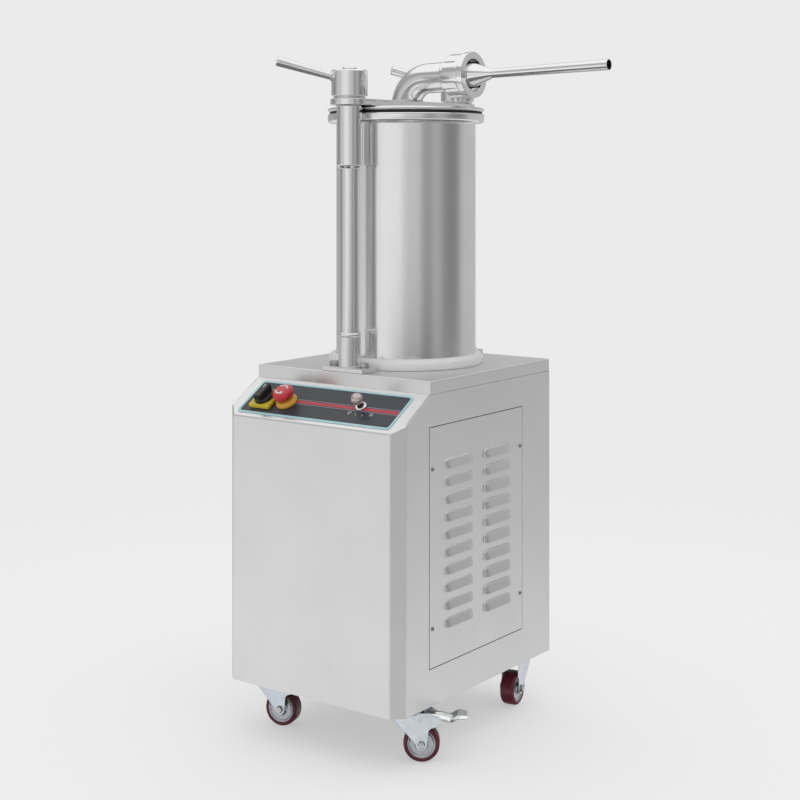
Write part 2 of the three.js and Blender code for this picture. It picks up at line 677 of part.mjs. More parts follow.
function emergencyStop() {
  const bottom = GAP + LABEL_PLATE + GAP;
  const collarTop = bottom + 9;
  const collar = ring([
    [8.3, -32], [11, -32], [11, bottom], [23.5, bottom],
    [23.5, bottom + 4], [17, collarTop], [8.3, collarTop],
  ]);
  const head = collarTop + 6.5; // the button travels 6 mm down to its collar
  const button = turned([
    [0, -24], [8, -24], [8, head], [18.5, head], [20, head + 2], [20, head + 9], [17, head + 12.5],
    [9, head + 14.5], [0, head + 15],
  ]);
  return [
    at(CONSOLE_FITTINGS.estop, piece("estop_collar", collar, YELLOW_PLASTIC)),
    at(CONSOLE_FITTINGS.estop, piece("estop_button", button, RED_PLASTIC)),
  ];
}

function speedLever() {
  const bottom = GAP + LABEL_PLATE + GAP;
  const bezel = ring([[7.6, -6], [8, -6], [8, bottom], [11, bottom], [10, bottom + 4], [7.6, bottom + 4]]);
  const ballHeight = 22;
  const ball = new THREE.SphereGeometry(11, 14, 8).rotateX(Math.PI / 2).translate(0, 0, ballHeight);
  const pivot = new THREE.SphereGeometry(5, 8, 5).rotateX(Math.PI / 2);
  const stem = rod(3, 0, ballHeight - 5, 0, 0, 8);
  const knob = joined(solid(pivot), stem, solid(ball));
  const lever = at(CONSOLE_FITTINGS.lever, piece("speed_lever", knob, KNOB_RED));
  lever.rotation.x = THREE.MathUtils.degToRad(7); // it leans towards the operator
  const valve = block([-30, 30], [-30, 30], [-72, -8]);
  return [
    at(CONSOLE_FITTINGS.lever, piece("lever_bezel", bezel, CHROME)),
    lever,
    at(CONSOLE_FITTINGS.lever, piece("valve_block", valve, FRAME_STEEL)),
  ];
}

function controls() {
  return consoleGroup().add(labelPlate(), ...isolatorSwitch(), ...emergencyStop(), ...speedLever());
}

// ---------------------------------------------------------------- casters
const CASTER_TOP = CABINET_BOTTOM - GAP;
const CROWN = { r: 27, bottom: 84.5, top: 88.7 };
const LEG = { inner: 16.5, outer: 19 };
const PEDAL_HINGE = { x: 34, z: 80 };

function casterPlate(name) {
  const plate = prism(roundedRectangle(-32, 32, -30, 30, 5), CASTER_TOP - 3, CASTER_TOP, 2);
  const race = turned([[0, 82], [5, 82], [5, CROWN.top + GAP], [22, CROWN.top + GAP], [24, CASTER_TOP - 2],
    [0, CASTER_TOP - 2]], 16);
  return piece(`${name}_caster_plate`, joined(plate, race), ZINC);
}

// One side of the fork in X and Z: from the crown down to the boss round the axle.
function legOutline(brake) {
  const boss = 10;
  const shape = new THREE.Shape();
  shape.moveTo(-24, CROWN.top - 1);
  shape.lineTo(-24, CROWN.bottom - 5);
  shape.lineTo(CASTER_TRAIL - boss, WHEEL_R + 2);
  shape.absarc(CASTER_TRAIL, WHEEL_R, boss, Math.PI, 2 * Math.PI);
  shape.lineTo(CASTER_TRAIL + boss + 3, 62);
  if (brake) {
    shape.lineTo(60, 66);
    shape.lineTo(62, 76);
  }
  shape.lineTo(brake ? 40 : 36, CROWN.top - 1);
  return shape;
}

function casterFork(name, brake) {
  const leg = legOutline(brake);
  const crown = rod(CROWN.r, CROWN.bottom, CROWN.top);
  const legs = [[-LEG.outer, -LEG.inner], [LEG.inner, LEG.outer]].map((y) => prismAlongY(leg, ...y));
  const axle = new THREE.CylinderGeometry(4.3, 4.3, 80, 12).translate(CASTER_TRAIL, 0, WHEEL_R);
  const cuts = [rod(5.3, 60, 95, 0, 0, 16), solid(axle)];
  const pin = new THREE.CylinderGeometry(2.2, 2.2, 2 * LEG.outer, 8);
  pin.translate(PEDAL_HINGE.x, 0, PEDAL_HINGE.z);
  const parts = brake ? [crown, ...legs, solid(pin)] : [crown, ...legs];
  return piece(`${name}_caster_fork`, without(joined(...parts), ...cuts), ZINC);
}

function casterAxle(name) {
  const head = (y) => new THREE.CylinderGeometry(7.2, 7.2, 4.5, 6).translate(CASTER_TRAIL, y, WHEEL_R);
  const shank = new THREE.CylinderGeometry(4, 4, 44, 12).translate(CASTER_TRAIL, 0, WHEEL_R);
  const reach = LEG.outer + GAP + 2.25;
  return piece(`${name}_caster_axle`, joined(solid(shank), solid(head(reach)), solid(head(-reach))), ZINC);
}

function casterWheel(name) {
  const half = WHEEL_WIDTH / 2;
  const rim = 25.5;
  const profile = [
    [4.3, 3 - half], [rim - 1, 3 - half], [rim, -half], [WHEEL_R - 3, -half], [WHEEL_R, 3 - half],
  ];
  const mirrored = profile.map(([r, y]) => [r, -y]).reverse();
  const shape = solid(geometryOf(ring([...profile, ...mirrored], 20)).rotateX(Math.PI / 2));
  const mesh = piece(`${name}_wheel`, shape, TREAD);
  mesh.position.set(CASTER_TRAIL, 0, WHEEL_R);
  return mesh;
}

// The brake pedal: a pressed strip with a shoe below it, turning on a pin in the fork.
function brakePedal(name) {
  const { x, z } = PEDAL_HINGE;
  const strip = outline([
    [x - 4, z + 3], [x + 4, z + 6], [x + 28, z + 1], [x + 46, z - 2], [x + 56, z + 6], [x + 68, z + 3],
    [x + 68, z], [x + 56, z + 2.5], [x + 47, z - 5], [x + 28, z - 3], [x + 21, z - 2], [x + 21, z - 20],
    [x + 16, z - 20], [x + 16, z - 1.5], [x + 4, z - 4], [x - 4, z - 4],
  ]);
  const arm = prismAlongY(strip, -LEG.inner + 0.5, LEG.inner - 0.5);
  const pad = prismAlongY(outline([
    [x + 46, z - 2], [x + 56, z + 6], [x + 69, z + 3], [x + 69, z], [x + 56, z + 2.5], [x + 47, z - 5],
  ]), -21, 21);
  const hole = new THREE.CylinderGeometry(2.5, 2.5, 80, 8).translate(x, 0, z);
  return piece(`${name}_brake_pedal`, without(joined(arm, pad), solid(hole)), CHROME);
}

function caster([name, { x, y, heading, brake }]) {
  const swivelling = new THREE.Group();
  swivelling.rotation.z = THREE.MathUtils.degToRad(heading);
  swivelling.add(casterFork(name, brake), casterAxle(name), casterWheel(name));
  if (brake) swivelling.add(brakePedal(name));
  const whole = new THREE.Group().add(casterPlate(name), swivelling);
  whole.position.set(x, y, 0);
  return whole;
}

// ---------------------------------------------------------------- the whole machine
const machine = new THREE.Group();
machine.add(...cabinet(), ...drive(), ...drumGroup(), ...postsAndClamps(), ...lidGroup(), controls());
machine.add(...Object.entries(SWIVELS).map(caster));

const part = new THREE.Group().add(machine);
part.updateMatrixWorld(true);
const middle = new THREE.Box3().setFromObject(machine, true).getCenter(new THREE.Vector3());
machine.position.set(-middle.x, -middle.y, 0);

export default part;
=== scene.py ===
"""Looks of an upright hydraulic sausage stuffer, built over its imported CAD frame.

Shapes are drawn in millimetres in the machine's own frame: the origin is on the floor below the drum's
axis, +X to the right along the front, +Y to the back.
"""

import math

import bmesh
import bpy
from mathutils import Matrix, Vector


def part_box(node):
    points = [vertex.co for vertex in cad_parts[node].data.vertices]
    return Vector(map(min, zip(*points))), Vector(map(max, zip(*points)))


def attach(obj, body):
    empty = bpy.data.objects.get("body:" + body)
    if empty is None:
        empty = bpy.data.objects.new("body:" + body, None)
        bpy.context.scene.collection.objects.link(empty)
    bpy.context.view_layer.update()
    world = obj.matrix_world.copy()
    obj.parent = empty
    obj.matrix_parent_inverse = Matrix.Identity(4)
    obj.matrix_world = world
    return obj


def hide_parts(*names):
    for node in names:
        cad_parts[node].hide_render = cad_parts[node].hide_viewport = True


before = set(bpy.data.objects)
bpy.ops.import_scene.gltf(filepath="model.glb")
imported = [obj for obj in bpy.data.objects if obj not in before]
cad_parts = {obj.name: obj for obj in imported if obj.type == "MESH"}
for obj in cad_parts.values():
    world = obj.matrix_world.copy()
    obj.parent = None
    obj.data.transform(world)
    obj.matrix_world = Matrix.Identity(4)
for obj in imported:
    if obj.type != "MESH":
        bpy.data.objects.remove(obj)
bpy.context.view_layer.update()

# ---------------------------------------------------------------- the machine's frame
_low, _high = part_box("drum")
AXIS = Vector(((_low.x + _high.x) / 2, (_low.y + _high.y) / 2, 0.0))
PLACE = Matrix.Translation(AXIS) @ Matrix.Scale(0.001, 4)
UPRIGHT = Matrix.Identity(4)

DECK = 200.0
DECK_TOP = 665.0
SKIRT_BOTTOM = 642.0
CABINET_BOTTOM = 97.5
CONSOLE_FRONT = -293.5
CONSOLE_EDGE = 584.5
CORNER_CUT = 20.6
CONSOLE_SLOPE = math.atan2(SKIRT_BOTTOM - CONSOLE_EDGE, -DECK - CONSOLE_FRONT)
SHEET_THICKNESS = 2.0
WINDOW = (-204.7, 100.7, 162.8, 585.2)
GLAND_AT = (-120.0, 150.0)
GLAND_HOLE_R = 10.3
NECK_HOLE_R = 61.0
FOOT = 665.3
BORE_R = 130.0
WALL_R = 133.5
RIM_R = 150.0
RIM_BOTTOM = 1121.5
RIM_EDGE = 1139.4
DRUM_TOP = 1142.0
PISTON_R = 129.4
ROD_R = 25.3
LID = (1142.6, 1151.2)
YOKE = (1151.5, 1163.5)
NUT_BOTTOM = 1166.5
HANDLE_HEADING = 222
HANDLE_RISE = 15.5
HANDLE_REACH = 135.0
POST_Y = 175.0
POST_HOLE_R = 18.3
SHAFT_R = 18.0
COLLAR_R = 23.5
STUD_R = 13.5
STUD_HOLE_R = 13.8
COLLAR_TOP = 1151.2
CLAMP_R = 33.3
CLAMP_HEIGHT = 50.0
SLEEVE_TOP = 736.0
BEND_R = 57.0
BEND_START = 1149.9
BEND_ANGLE = math.radians(88.25)
PIPE_R = 28.5
TAIL = 74.0
FERRULE = (42.0, 51.0)
THREAD_START = 56.0
WHEEL = (26.0, 32.2)
SWIVELS = {
    "front_left": (-157, -212, 14, True),
    "front_right": (157, -212, 34, True),
    "rear_left": (-148, 166, 205, False),
    "rear_right": (148, 166, -80, False),
}


def moved(x, y, z):
    return Matrix.Translation((x, y, z))


def turned(degrees, axis):
    return Matrix.Rotation(math.radians(degrees), 4, axis)


# Drawn X, Y, Z become the machine's Y, Z, X (a side wall) or X, Z, -Y (a front wall).
SIDEWAYS = Matrix(((0, 0, 1, 0), (1, 0, 0, 0), (0, 1, 0, 0), (0, 0, 0, 1)))
FACING = turned(90, "X")
CONSOLE = moved(0, CONSOLE_FRONT, CONSOLE_EDGE) @ Matrix.Rotation(CONSOLE_SLOPE, 4, "X")
BEND_END = Vector(
    (BEND_R * (1 - math.cos(BEND_ANGLE)), 0, BEND_START + BEND_R * math.sin(BEND_ANGLE))
)
SPOUT = Matrix.Translation(BEND_END) @ Matrix.Rotation(BEND_ANGLE, 4, "Y")


# ---------------------------------------------------------------- shapes
def rounded(points, radius, steps=4, closed=True):
    """The points with each corner rounded off. A point's third number, if any, is its own radius."""
    out = []
    last = len(points) - 1
    for i, point in enumerate(points):
        cut = point[2] if len(point) > 2 else radius
        corner = Vector(point[:2])
        if cut <= 0 or (not closed and i in (0, last)):
            out.append(tuple(corner))
            continue
        back = Vector(points[i - 1][:2]) - corner
        on = Vector(points[(i + 1) % len(points)][:2]) - corner
        cut = min(cut, back.length * 0.48, on.length * 0.48)
        start = corner + back.normalized() * cut
        end = corner + on.normalized() * cut
        for k in range(steps + 1):
            t = k / steps
            out.append(tuple(start * (1 - t) ** 2 + corner * 2 * t * (1 - t) + end * t * t))
    return out


def circle(x, y, r, count=48):
    return [
        (x + r * math.cos(2 * math.pi * k / count), y + r * math.sin(2 * math.pi * k / count))
        for k in range(count)
    ]


def rectangle(x0, x1, y0, y1, r=0.0):
    return rounded([(x0, y0), (x1, y0), (x1, y1), (x0, y1)], r, 6)


def lathe(profile, segments=96, closed=False):
    """Turns a profile of (radius, height) points about Z."""
    bm = bmesh.new()
    rings = []
    for r, z in profile:
        count = segments if r > 1e-4 else 1
        rings.append([
            bm.verts.new((r * math.cos(2 * math.pi * k / count), r * math.sin(2 * math.pi * k / count), z))
            for k in range(count)
        ])
    follow = rings[1:] + rings[:1] if closed else rings[1:]
    for a, b in zip(rings, follow):
        for k in range(segments):
            n = (k + 1) % segments
            corners = [a[k % len(a)], a[n % len(a)], b[n % len(b)], b[k % len(b)]]
            corners = list(dict.fromkeys(corners))
            if len(corners) > 2:
                bm.faces.new(corners)
    return bm


def plate(outline, z0, z1, holes=(), edge=0.5, steps=2):
    """A flat plate with softened edges, drawn in X and Y."""
    curve = bpy.data.curves.new("outline", "CURVE")
    curve.dimensions = "2D"
    curve.fill_mode = "BOTH"
    for loop in (outline, *holes):
        spline = curve.splines.new("POLY")
        spline.points.add(len(loop) - 1)
        spline.use_cyclic_u = True
        for point, (x, y) in zip(spline.points, loop):
            point.co = (x, y, 0, 1)
    curve.extrude = (z1 - z0) / 2 - edge
    curve.bevel_depth = edge
    curve.bevel_resolution = steps
    curve.offset = -edge
    bm = from_object(bpy.data.objects.new("outline", curve))
    bpy.data.curves.remove(curve)
    bmesh.ops.remove_doubles(bm, verts=bm.verts, dist=1e-3)
    bmesh.ops.translate(bm, verts=bm.verts, vec=(0, 0, (z0 + z1) / 2))
    return bm


def from_object(obj):
    """The evaluated shape of a scratch object, which is then thrown away."""
    bpy.context.scene.collection.objects.link(obj)
    bpy.context.view_layer.update()
    done = obj.evaluated_get(bpy.context.evaluated_depsgraph_get())
    bm = bmesh.new()
    bm.from_mesh(done.to_mesh())
    done.to_mesh_clear()
    bpy.data.objects.remove(obj)
    return bm


def scratch(bm):
    mesh = bpy.data.meshes.new("scratch")
    bmesh.ops.recalc_face_normals(bm, faces=bm.faces)
    bm.to_mesh(mesh)
    bm.free()
    return bpy.data.objects.new("scratch", mesh)


def cut(bm, *tools):
    """The closed shape with each closed tool cut out of it."""
    for tool in tools:
        target, cutter = scratch(bm), scratch(tool)
        bpy.context.scene.collection.objects.link(cutter)
        modifier = target.modifiers.new("cut", "BOOLEAN")
        modifier.object = cutter
        modifier.operation = "DIFFERENCE"
        modifier.solver = "EXACT"
        bm = from_object(target)
        bpy.data.objects.remove(cutter)
    return bm


def joined(*shapes):
    """Several shapes as one mesh."""
    whole = shapes[0]
    for shape in shapes[1:]:
        mesh = bpy.data.meshes.new("join")
        shape.to_mesh(mesh)
        shape.free()
        whole.from_mesh(mesh)
        bpy.data.meshes.remove(mesh)
    return whole


def placed(bm, matrix):
    bm.transform(matrix)
    return bm


def softened(bm, radius, steps=3, sharper_than=30):
    """Rounds every edge sharper than the given angle."""
    limit = math.radians(sharper_than)
    edges = [e for e in bm.edges if len(e.link_faces) == 2 and e.calc_face_angle(0) > limit]
    bmesh.ops.bevel(
        bm, geom=edges, offset=radius, offset_type="OFFSET", segments=steps, profile=0.5,
        affect="EDGES", clamp_overlap=True,
    )
    return bm


def thickened(bm, thickness):
    """An open skin, drawn as the outside face, as a sheet of the given thickness."""
    bmesh.ops.recalc_face_normals(bm, faces=bm.faces)
    inner = bm.copy()
    bm.normal_update()
    inner.normal_update()
    offsets = []
    for vert in inner.verts:
        normals = [f.normal for f in vert.link_faces]
        distinct = []
        for n in normals:
            if all(n.dot(d) < 0.999 for d in distinct):
                distinct.append(n)
        mean = sum(distinct, Vector()).normalized()
        lean = max(0.35, sum(mean.dot(d) for d in distinct) / len(distinct))
        offsets.append(vert.co - mean * thickness / lean)
    for vert, place in zip(inner.verts, offsets):
        vert.co = place
    bmesh.ops.reverse_faces(inner, faces=inner.faces)
    rim = [(e.verts[0].index, e.verts[1].index) for e in bm.edges if e.is_boundary]
    count = len(bm.verts)
    whole = joined(bm, inner)
    whole.verts.ensure_lookup_table()
    for a, b in rim:
        whole.faces.new([whole.verts[a], whole.verts[b], whole.verts[b + count], whole.verts[a + count]])
    bmesh.ops.recalc_face_normals(whole, faces=whole.faces)
    return whole


def cylinder(r, z0, z1, x=0.0, y=0.0, segments=48):
    return placed(lathe([(0, z0), (r, z0), (r, z1), (0, z1)], segments), moved(x, y, 0))


def block(x0, x1, y0, y1, z0, z1):
    bm = bmesh.new()
    bmesh.ops.create_cube(bm, size=1.0)
    middle = moved((x0 + x1) / 2, (y0 + y1) / 2, (z0 + z1) / 2)
    bm.transform(middle @ Matrix.Diagonal((x1 - x0, y1 - y0, z1 - z0, 1)))
    return bm


def hexagon(across, z0, z1, edge=0.8):
    """A hexagon bolt head or nut with its corners turned off."""
    r = across / 2 / math.cos(math.pi / 6)
    bm = lathe([(0, z0), (r, z0), (r, z1), (0, z1)], 6)
    bmesh.ops.dissolve_limit(bm, angle_limit=0.01, verts=bm.verts, edges=bm.edges)
    return softened(bm, edge, 2)


def torus(big, small, z, segments=96, around=12):
    angles = [2 * math.pi * k / around for k in range(around)]
    ring = [(big + small * math.cos(a), z + small * math.sin(a)) for a in angles]
    return lathe(ring, segments, closed=True)


def swept(path, section, capped=True):
    """A closed section swept along points with their tangents, in the XZ plane."""
    bm = bmesh.new()
    rings = []
    for place, tangent in path:
        across = Vector((0, 1, 0))
        up = tangent.cross(across)
        rings.append([bm.verts.new(place + across * u + up * v) for u, v in section])
    for a, b in zip(rings, rings[1:]):
        for k in range(len(section)):
            n = (k + 1) % len(section)
            bm.faces.new([a[k], a[n], b[n], b[k]])
    if capped:
        bm.faces.new(rings[0])
        bm.faces.new(rings[-1])
    return bm


# ---------------------------------------------------------------- materials
class Graph:
    """A node tree that is written as nested calls."""

    def __init__(self, tree):
        self.tree = tree
        tree.nodes.clear()

    def node(self, kind, inputs=None, **settings):
        made = self.tree.nodes.new("ShaderNode" + kind)
        for key, value in settings.items():
            setattr(made, key, value)
        for key, value in (inputs or {}).items():
            if isinstance(value, bpy.types.NodeSocket):
                self.tree.links.new(value, made.inputs[key])
            else:
                made.inputs[key].default_value = value
        return made

    def math(self, operation, *values):
        made = self.node("Math", dict(enumerate(values)), operation=operation)
        return made.outputs[0]

    def ramp(self, factor, stops, interpolation="LINEAR"):
        made = self.node("ValToRGB", {"Fac": factor})
        made.color_ramp.interpolation = interpolation
        elements = made.color_ramp.elements
        while len(elements) < len(stops):
            elements.new(0.5)
        for element, (place, colour) in zip(elements, stops):
            element.position = place
            element.color = (*colour, 1.0)
        return made.outputs["Color"]


def linear(*srgb):
    """0 to 255 sRGB values as a linear colour."""
    out = []
    for value in srgb:
        c = value / 255
        out.append(c / 12.92 if c <= 0.04045 else ((c + 0.055) / 1.055) ** 2.4)
    return tuple(out)


def surface(name, low, high, roughness, metallic=0.0, grain=(220, 220, 220), spread=0.05, bump=0.12,
            depth=0.0002, **shader):
    """A material whose colour drifts between two shades, and whose gloss and relief follow a fine grain."""
    material = bpy.data.materials.new(name)
    material.use_nodes = True
    g = Graph(material.node_tree)
    place = g.node("TexCoord").outputs["Object"]
    drift = g.node("TexNoise", {"Vector": place, "Scale": 7.0, "Detail": 4.0}).outputs["Fac"]
    stretched = g.node("Mapping", {"Vector": place, "Scale": grain}).outputs["Vector"]
    fine = g.node("TexNoise", {"Vector": stretched, "Scale": 1.0, "Detail": 5.0,
        "Roughness": 0.6}).outputs["Fac"]
    gloss = g.node("MapRange", {"Value": fine, "From Min": 0.3, "From Max": 0.7,
        "To Min": max(0.02, roughness - spread), "To Max": roughness + spread}).outputs["Result"]
    relief = g.node("Bump", {"Height": fine, "Strength": bump, "Distance": depth}).outputs["Normal"]
    values = {
        "Base Color": g.ramp(drift, [(0.35, low), (0.65, high)]), "Metallic": metallic,
        "Roughness": gloss, "Normal": relief, **shader,
    }
    shader_out = g.node("BsdfPrincipled", values).outputs["BSDF"]
    g.node("OutputMaterial", {"Surface": shader_out})
    return material


UP_GRAIN = (900, 900, 14)
SHEET = surface("brushed_sheet_finish", (0.80, 0.80, 0.80), (0.83, 0.83, 0.83), 0.36, 1.0, UP_GRAIN, 0.03,
    0.035, 0.0001)
POLISHED = surface("polished_steel_finish", (0.83, 0.83, 0.835), (0.86, 0.86, 0.865), 0.14, 1.0, UP_GRAIN,
    0.03, 0.03, 0.00008)
DRUM_STEEL = surface("drum_steel_finish", (0.86, 0.86, 0.86), (0.89, 0.89, 0.89), 0.17, 1.0, UP_GRAIN,
    0.025, 0.02, 0.00006)
SATIN = surface("satin_steel_finish", (0.76, 0.76, 0.765), (0.82, 0.82, 0.825), 0.24, 1.0, (500, 500, 60),
    0.05, 0.05, 0.0001)
WELD = surface("weld_finish", (0.58, 0.56, 0.54), (0.72, 0.71, 0.70), 0.3, 1.0, (420, 420, 420), 0.08,
    0.5, 0.0006)
FRAME_STEEL = surface("frame_steel_finish", (0.26, 0.27, 0.28), (0.33, 0.34, 0.35), 0.5, 0.5)
ZINC = surface("zinc_finish", (0.50, 0.55, 0.60), (0.70, 0.75, 0.80), 0.20, 1.0, (90, 90, 90), 0.05, 0.05)
BOLT_STEEL = surface("bolt_steel_finish", (0.50, 0.50, 0.50), (0.60, 0.60, 0.60), 0.26, 1.0,
    (160, 160, 160), 0.06, 0.05)
CHROME = surface("chrome_finish", (0.84, 0.85, 0.86), (0.90, 0.91, 0.92), 0.07, 1.0, (90, 90, 90), 0.03, 0.03)
NYLON = surface("nylon_finish", (0.88, 0.88, 0.87), (0.92, 0.92, 0.91), 0.42, 0.0, (140, 140, 140), 0.06,
    0.06)
BLACK = surface("black_plastic_finish", (0.010, 0.010, 0.011), (0.022, 0.022, 0.024), 0.32, 0.0,
    (300, 300, 300), 0.08, 0.1)
RUBBER = surface("black_rubber_finish", (0.014, 0.014, 0.015), (0.028, 0.028, 0.03), 0.7, 0.0,
    (260, 260, 260), 0.08, 0.25)
YELLOW = surface("yellow_plastic_finish", linear(214, 190, 44), linear(228, 208, 62), 0.35, 0.0,
    (200, 200, 200))
COLLAR_YELLOW = surface("collar_yellow_finish", linear(228, 172, 60), linear(238, 190, 78), 0.35, 0.0,
    (200, 200, 200))
RED = surface("red_plastic_finish", linear(196, 38, 50), linear(212, 52, 64), 0.25, 0.0, (200, 200, 200),
    **{"Coat Weight": 0.4})
WHITE_PRINT = surface("white_print_finish", (0.78, 0.78, 0.78), (0.85, 0.85, 0.85), 0.4)
# The lever ball is bright metal. Its pink tint is a painted reflection of the label's red stripe.
LEVER_BALL_WITH_PAINTED_REFLECTION = surface("lever_ball_metal_with_painted_red_reflection", linear(196, 176, 178), linear(216, 200, 202), 0.12, 0.6,
    (120, 120, 120), 0.03, 0.03)
LABEL = surface("label_field_finish", linear(50, 54, 63), linear(60, 64, 74), 0.4, 0.0, (400, 400, 400))
LABEL_EDGE = surface("label_border_finish", linear(178, 222, 228), linear(194, 234, 238), 0.4, 0.0,
    (400, 400, 400))
STRIPE_RED = surface("label_red_finish", linear(192, 52, 64), linear(206, 66, 78), 0.4, 0.0, (400, 400, 400))
STRIPE_GREY = surface("label_grey_finish", linear(150, 150, 158), linear(168, 168, 176), 0.4, 0.0,
    (400, 400, 400))
TREAD = surface("tread_finish", linear(72, 10, 27), linear(98, 18, 40), 0.38, 0.0, (160, 160, 160), 0.08,
    0.12)
HUB = surface("hub_finish", (0.36, 0.37, 0.39), (0.52, 0.54, 0.57), 0.26, 0.85, (180, 180, 180))
PAINT = surface("motor_paint_finish", linear(52, 86, 108), linear(66, 102, 124), 0.4, 0.1,
    (150, 150, 150), 0.06, 0.2)


# ---------------------------------------------------------------- pieces
def add(name, bm, body, material, nodes=(), at=UPRIGHT, sharp=32, flat=False):
    """Adds a finished shape to the scene as one piece that rides on a CAD body."""
    bm.transform(PLACE @ at)
    bmesh.ops.recalc_face_normals(bm, faces=bm.faces)
    for face in bm.faces:
        face.smooth = not flat
    for edge in bm.edges:
        edge.smooth = len(edge.link_faces) == 2 and edge.calc_face_angle(0) < math.radians(sharp)
    mesh = bpy.data.meshes.new(name)
    bm.to_mesh(mesh)
    bm.free()
    mesh.materials.append(material)
    obj = bpy.data.objects.new(name, mesh)
    bpy.context.scene.collection.objects.link(obj)
    even = obj.modifiers.new("even", "WEIGHTED_NORMAL")
    even.keep_sharp = True
    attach(obj, body)
    if nodes:
        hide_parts(*nodes)
    return obj


def slope_z(y):
    return CONSOLE_EDGE + (y - CONSOLE_FRONT) * math.tan(CONSOLE_SLOPE)


FITTINGS = {"switch": (-131, 45, 11.8), "estop": (-82.5, 47, 11.8), "lever": (82.4, 56.4, 8.3)}


def front_cover():
    inner = DECK - CORNER_CUT
    corner_y = CONSOLE_FRONT + CORNER_CUT
    plan = [(-DECK, corner_y), (-inner, CONSOLE_FRONT), (inner, CONSOLE_FRONT), (DECK, corner_y)]
    bm = bmesh.new()
    low = [bm.verts.new((x, y, CABINET_BOTTOM)) for x, y in plan]
    top = [bm.verts.new((x, y, slope_z(y))) for x, y in plan]
    edge = DECK - 2.3
    rear = [(edge, corner_y + 2.5), (edge, -200.3), (-edge, -200.3), (-edge, corner_y + 2.5)]
    rear = [bm.verts.new((x, y, slope_z(y))) for x, y in rear]
    for k in range(3):
        bm.faces.new([low[k], low[k + 1], top[k + 1], top[k]])
    bm.faces.new([*top, *rear])
    bends = [e for e in bm.edges if len(e.link_faces) == 2]
    bmesh.ops.bevel(bm, geom=bends, offset=3.2, offset_type="OFFSET", segments=5, profile=0.5, affect="EDGES")
    shell = thickened(bm, SHEET_THICKNESS)
    holes = [placed(cylinder(r, -20, 20, x, v), CONSOLE) for x, v, r in FITTINGS.values()]
    add("front_cover_skin", cut(shell, *holes), "cabinet", SHEET, ["front_cover"])


def side_panel(name, side):
    front = CONSOLE_FRONT + CORNER_CUT + 0.4
    edge = slope_z(front) - 0.2
    top = SKIRT_BOTTOM - 0.3
    corner = CONSOLE_FRONT + (top - CONSOLE_EDGE) / math.tan(CONSOLE_SLOPE)
    outline = [(front, CABINET_BOTTOM), (DECK, CABINET_BOTTOM), (DECK, top), (corner, top), (front, edge)]
    window = rectangle(*WINDOW, 1.5)
    bm = plate(outline, DECK - SHEET_THICKNESS, DECK, [window], 0.7)
    at = Matrix.Scale(side, 4, (1, 0, 0)) @ SIDEWAYS
    add(name + "_skin", bm, "cabinet", SHEET, [name], at)


LOUVRE = {"rows": 10, "pitch": 31.2, "top": 523.2, "height": 16.6, "length": 88.0, "depth": 6.1, "round": 9.0}
COLUMNS = (-114.0, 11.5)


def louvre_half_width(down):
    """Half the width of a louvre's footprint, by how far down it is from its top edge."""
    r = LOUVRE["round"]
    inset = r - math.sqrt(max(0.0, r * r - (r - down) ** 2)) if down < r else 0.0
    return LOUVRE["length"] / 2 - inset


def louvre_hood(y, top):
    """A pressed hood over its slot, drawn in Y, Z and outwards."""
    rows, columns = 12, 30
    bm = bmesh.new()
    grid = []
    for i in range(rows + 1):
        t = i / rows
        down = LOUVRE["height"] * t
        half = louvre_half_width(down)
        row = []
        for k in range(columns + 1):
            u = math.sin(math.pi / 2 * (2 * k / columns - 1))
            swell = 0.24 * min(1.0, t * 7) + 0.76 * t
            side = (1 - abs(u) ** 8) ** 0.6 if abs(u) < 1 else 0.0
            row.append(bm.verts.new((y + u * half, top - down, LOUVRE["depth"] * swell * side)))
        grid.append(row)
    for a, b in zip(grid, grid[1:]):
        for k in range(columns):
            bm.faces.new([a[k], b[k], b[k + 1], a[k + 1]])
    bmesh.ops.remove_doubles(bm, verts=bm.verts, dist=1e-4)
    return thickened(bm, 0.9)


def louvre_slot(y, top):
    """The opening in the sheet behind a hood."""
    outline = []
    for i in range(9):
        down = 0.6 + (LOUVRE["height"] - 0.6) * i / 8
        outline.append((louvre_half_width(down) - 0.6, top - down))
    return [(y + x, z) for x, z in outline] + [(y - x, z) for x, z in reversed(outline)]


def louvre_panel(name, side):
    tops = [LOUVRE["top"] - k * LOUVRE["pitch"] for k in range(LOUVRE["rows"])]
    slots = [louvre_slot(y, z) for y in COLUMNS for z in tops]
    sheet = plate(rectangle(-203.5, 99.5, 164, 584, 1.0), -SHEET_THICKNESS, 0.0, slots, 0.35)
    hoods = [louvre_hood(y, z) for y in COLUMNS for z in tops]
    at = Matrix.Scale(side, 4, (1, 0, 0)) @ moved(DECK, 0, 0) @ SIDEWAYS
    add(name + "_skin", joined(sheet, *hoods), "cabinet", SHEET, [name], at, sharp=40)
    for k, (y, z) in enumerate([(-194.8, 511), (92, 511), (-194.8, 232.5), (92, 232.5)]):
        head = lathe(rounded([(0, 2.2), (2.2, 2.2), (3.6, 0.9), (3.6, -0.4), (0, -0.4)], 0.6, 3, False), 24)
        head = cut(head, block(-2.4, 2.4, -0.4, 0.4, 1.4, 3), block(-0.4, 0.4, -2.4, 2.4, 1.4, 3))
        add(f"{name}_screw_{k}", head, "cabinet", FRAME_STEEL, (), at @ moved(y, z, 0))


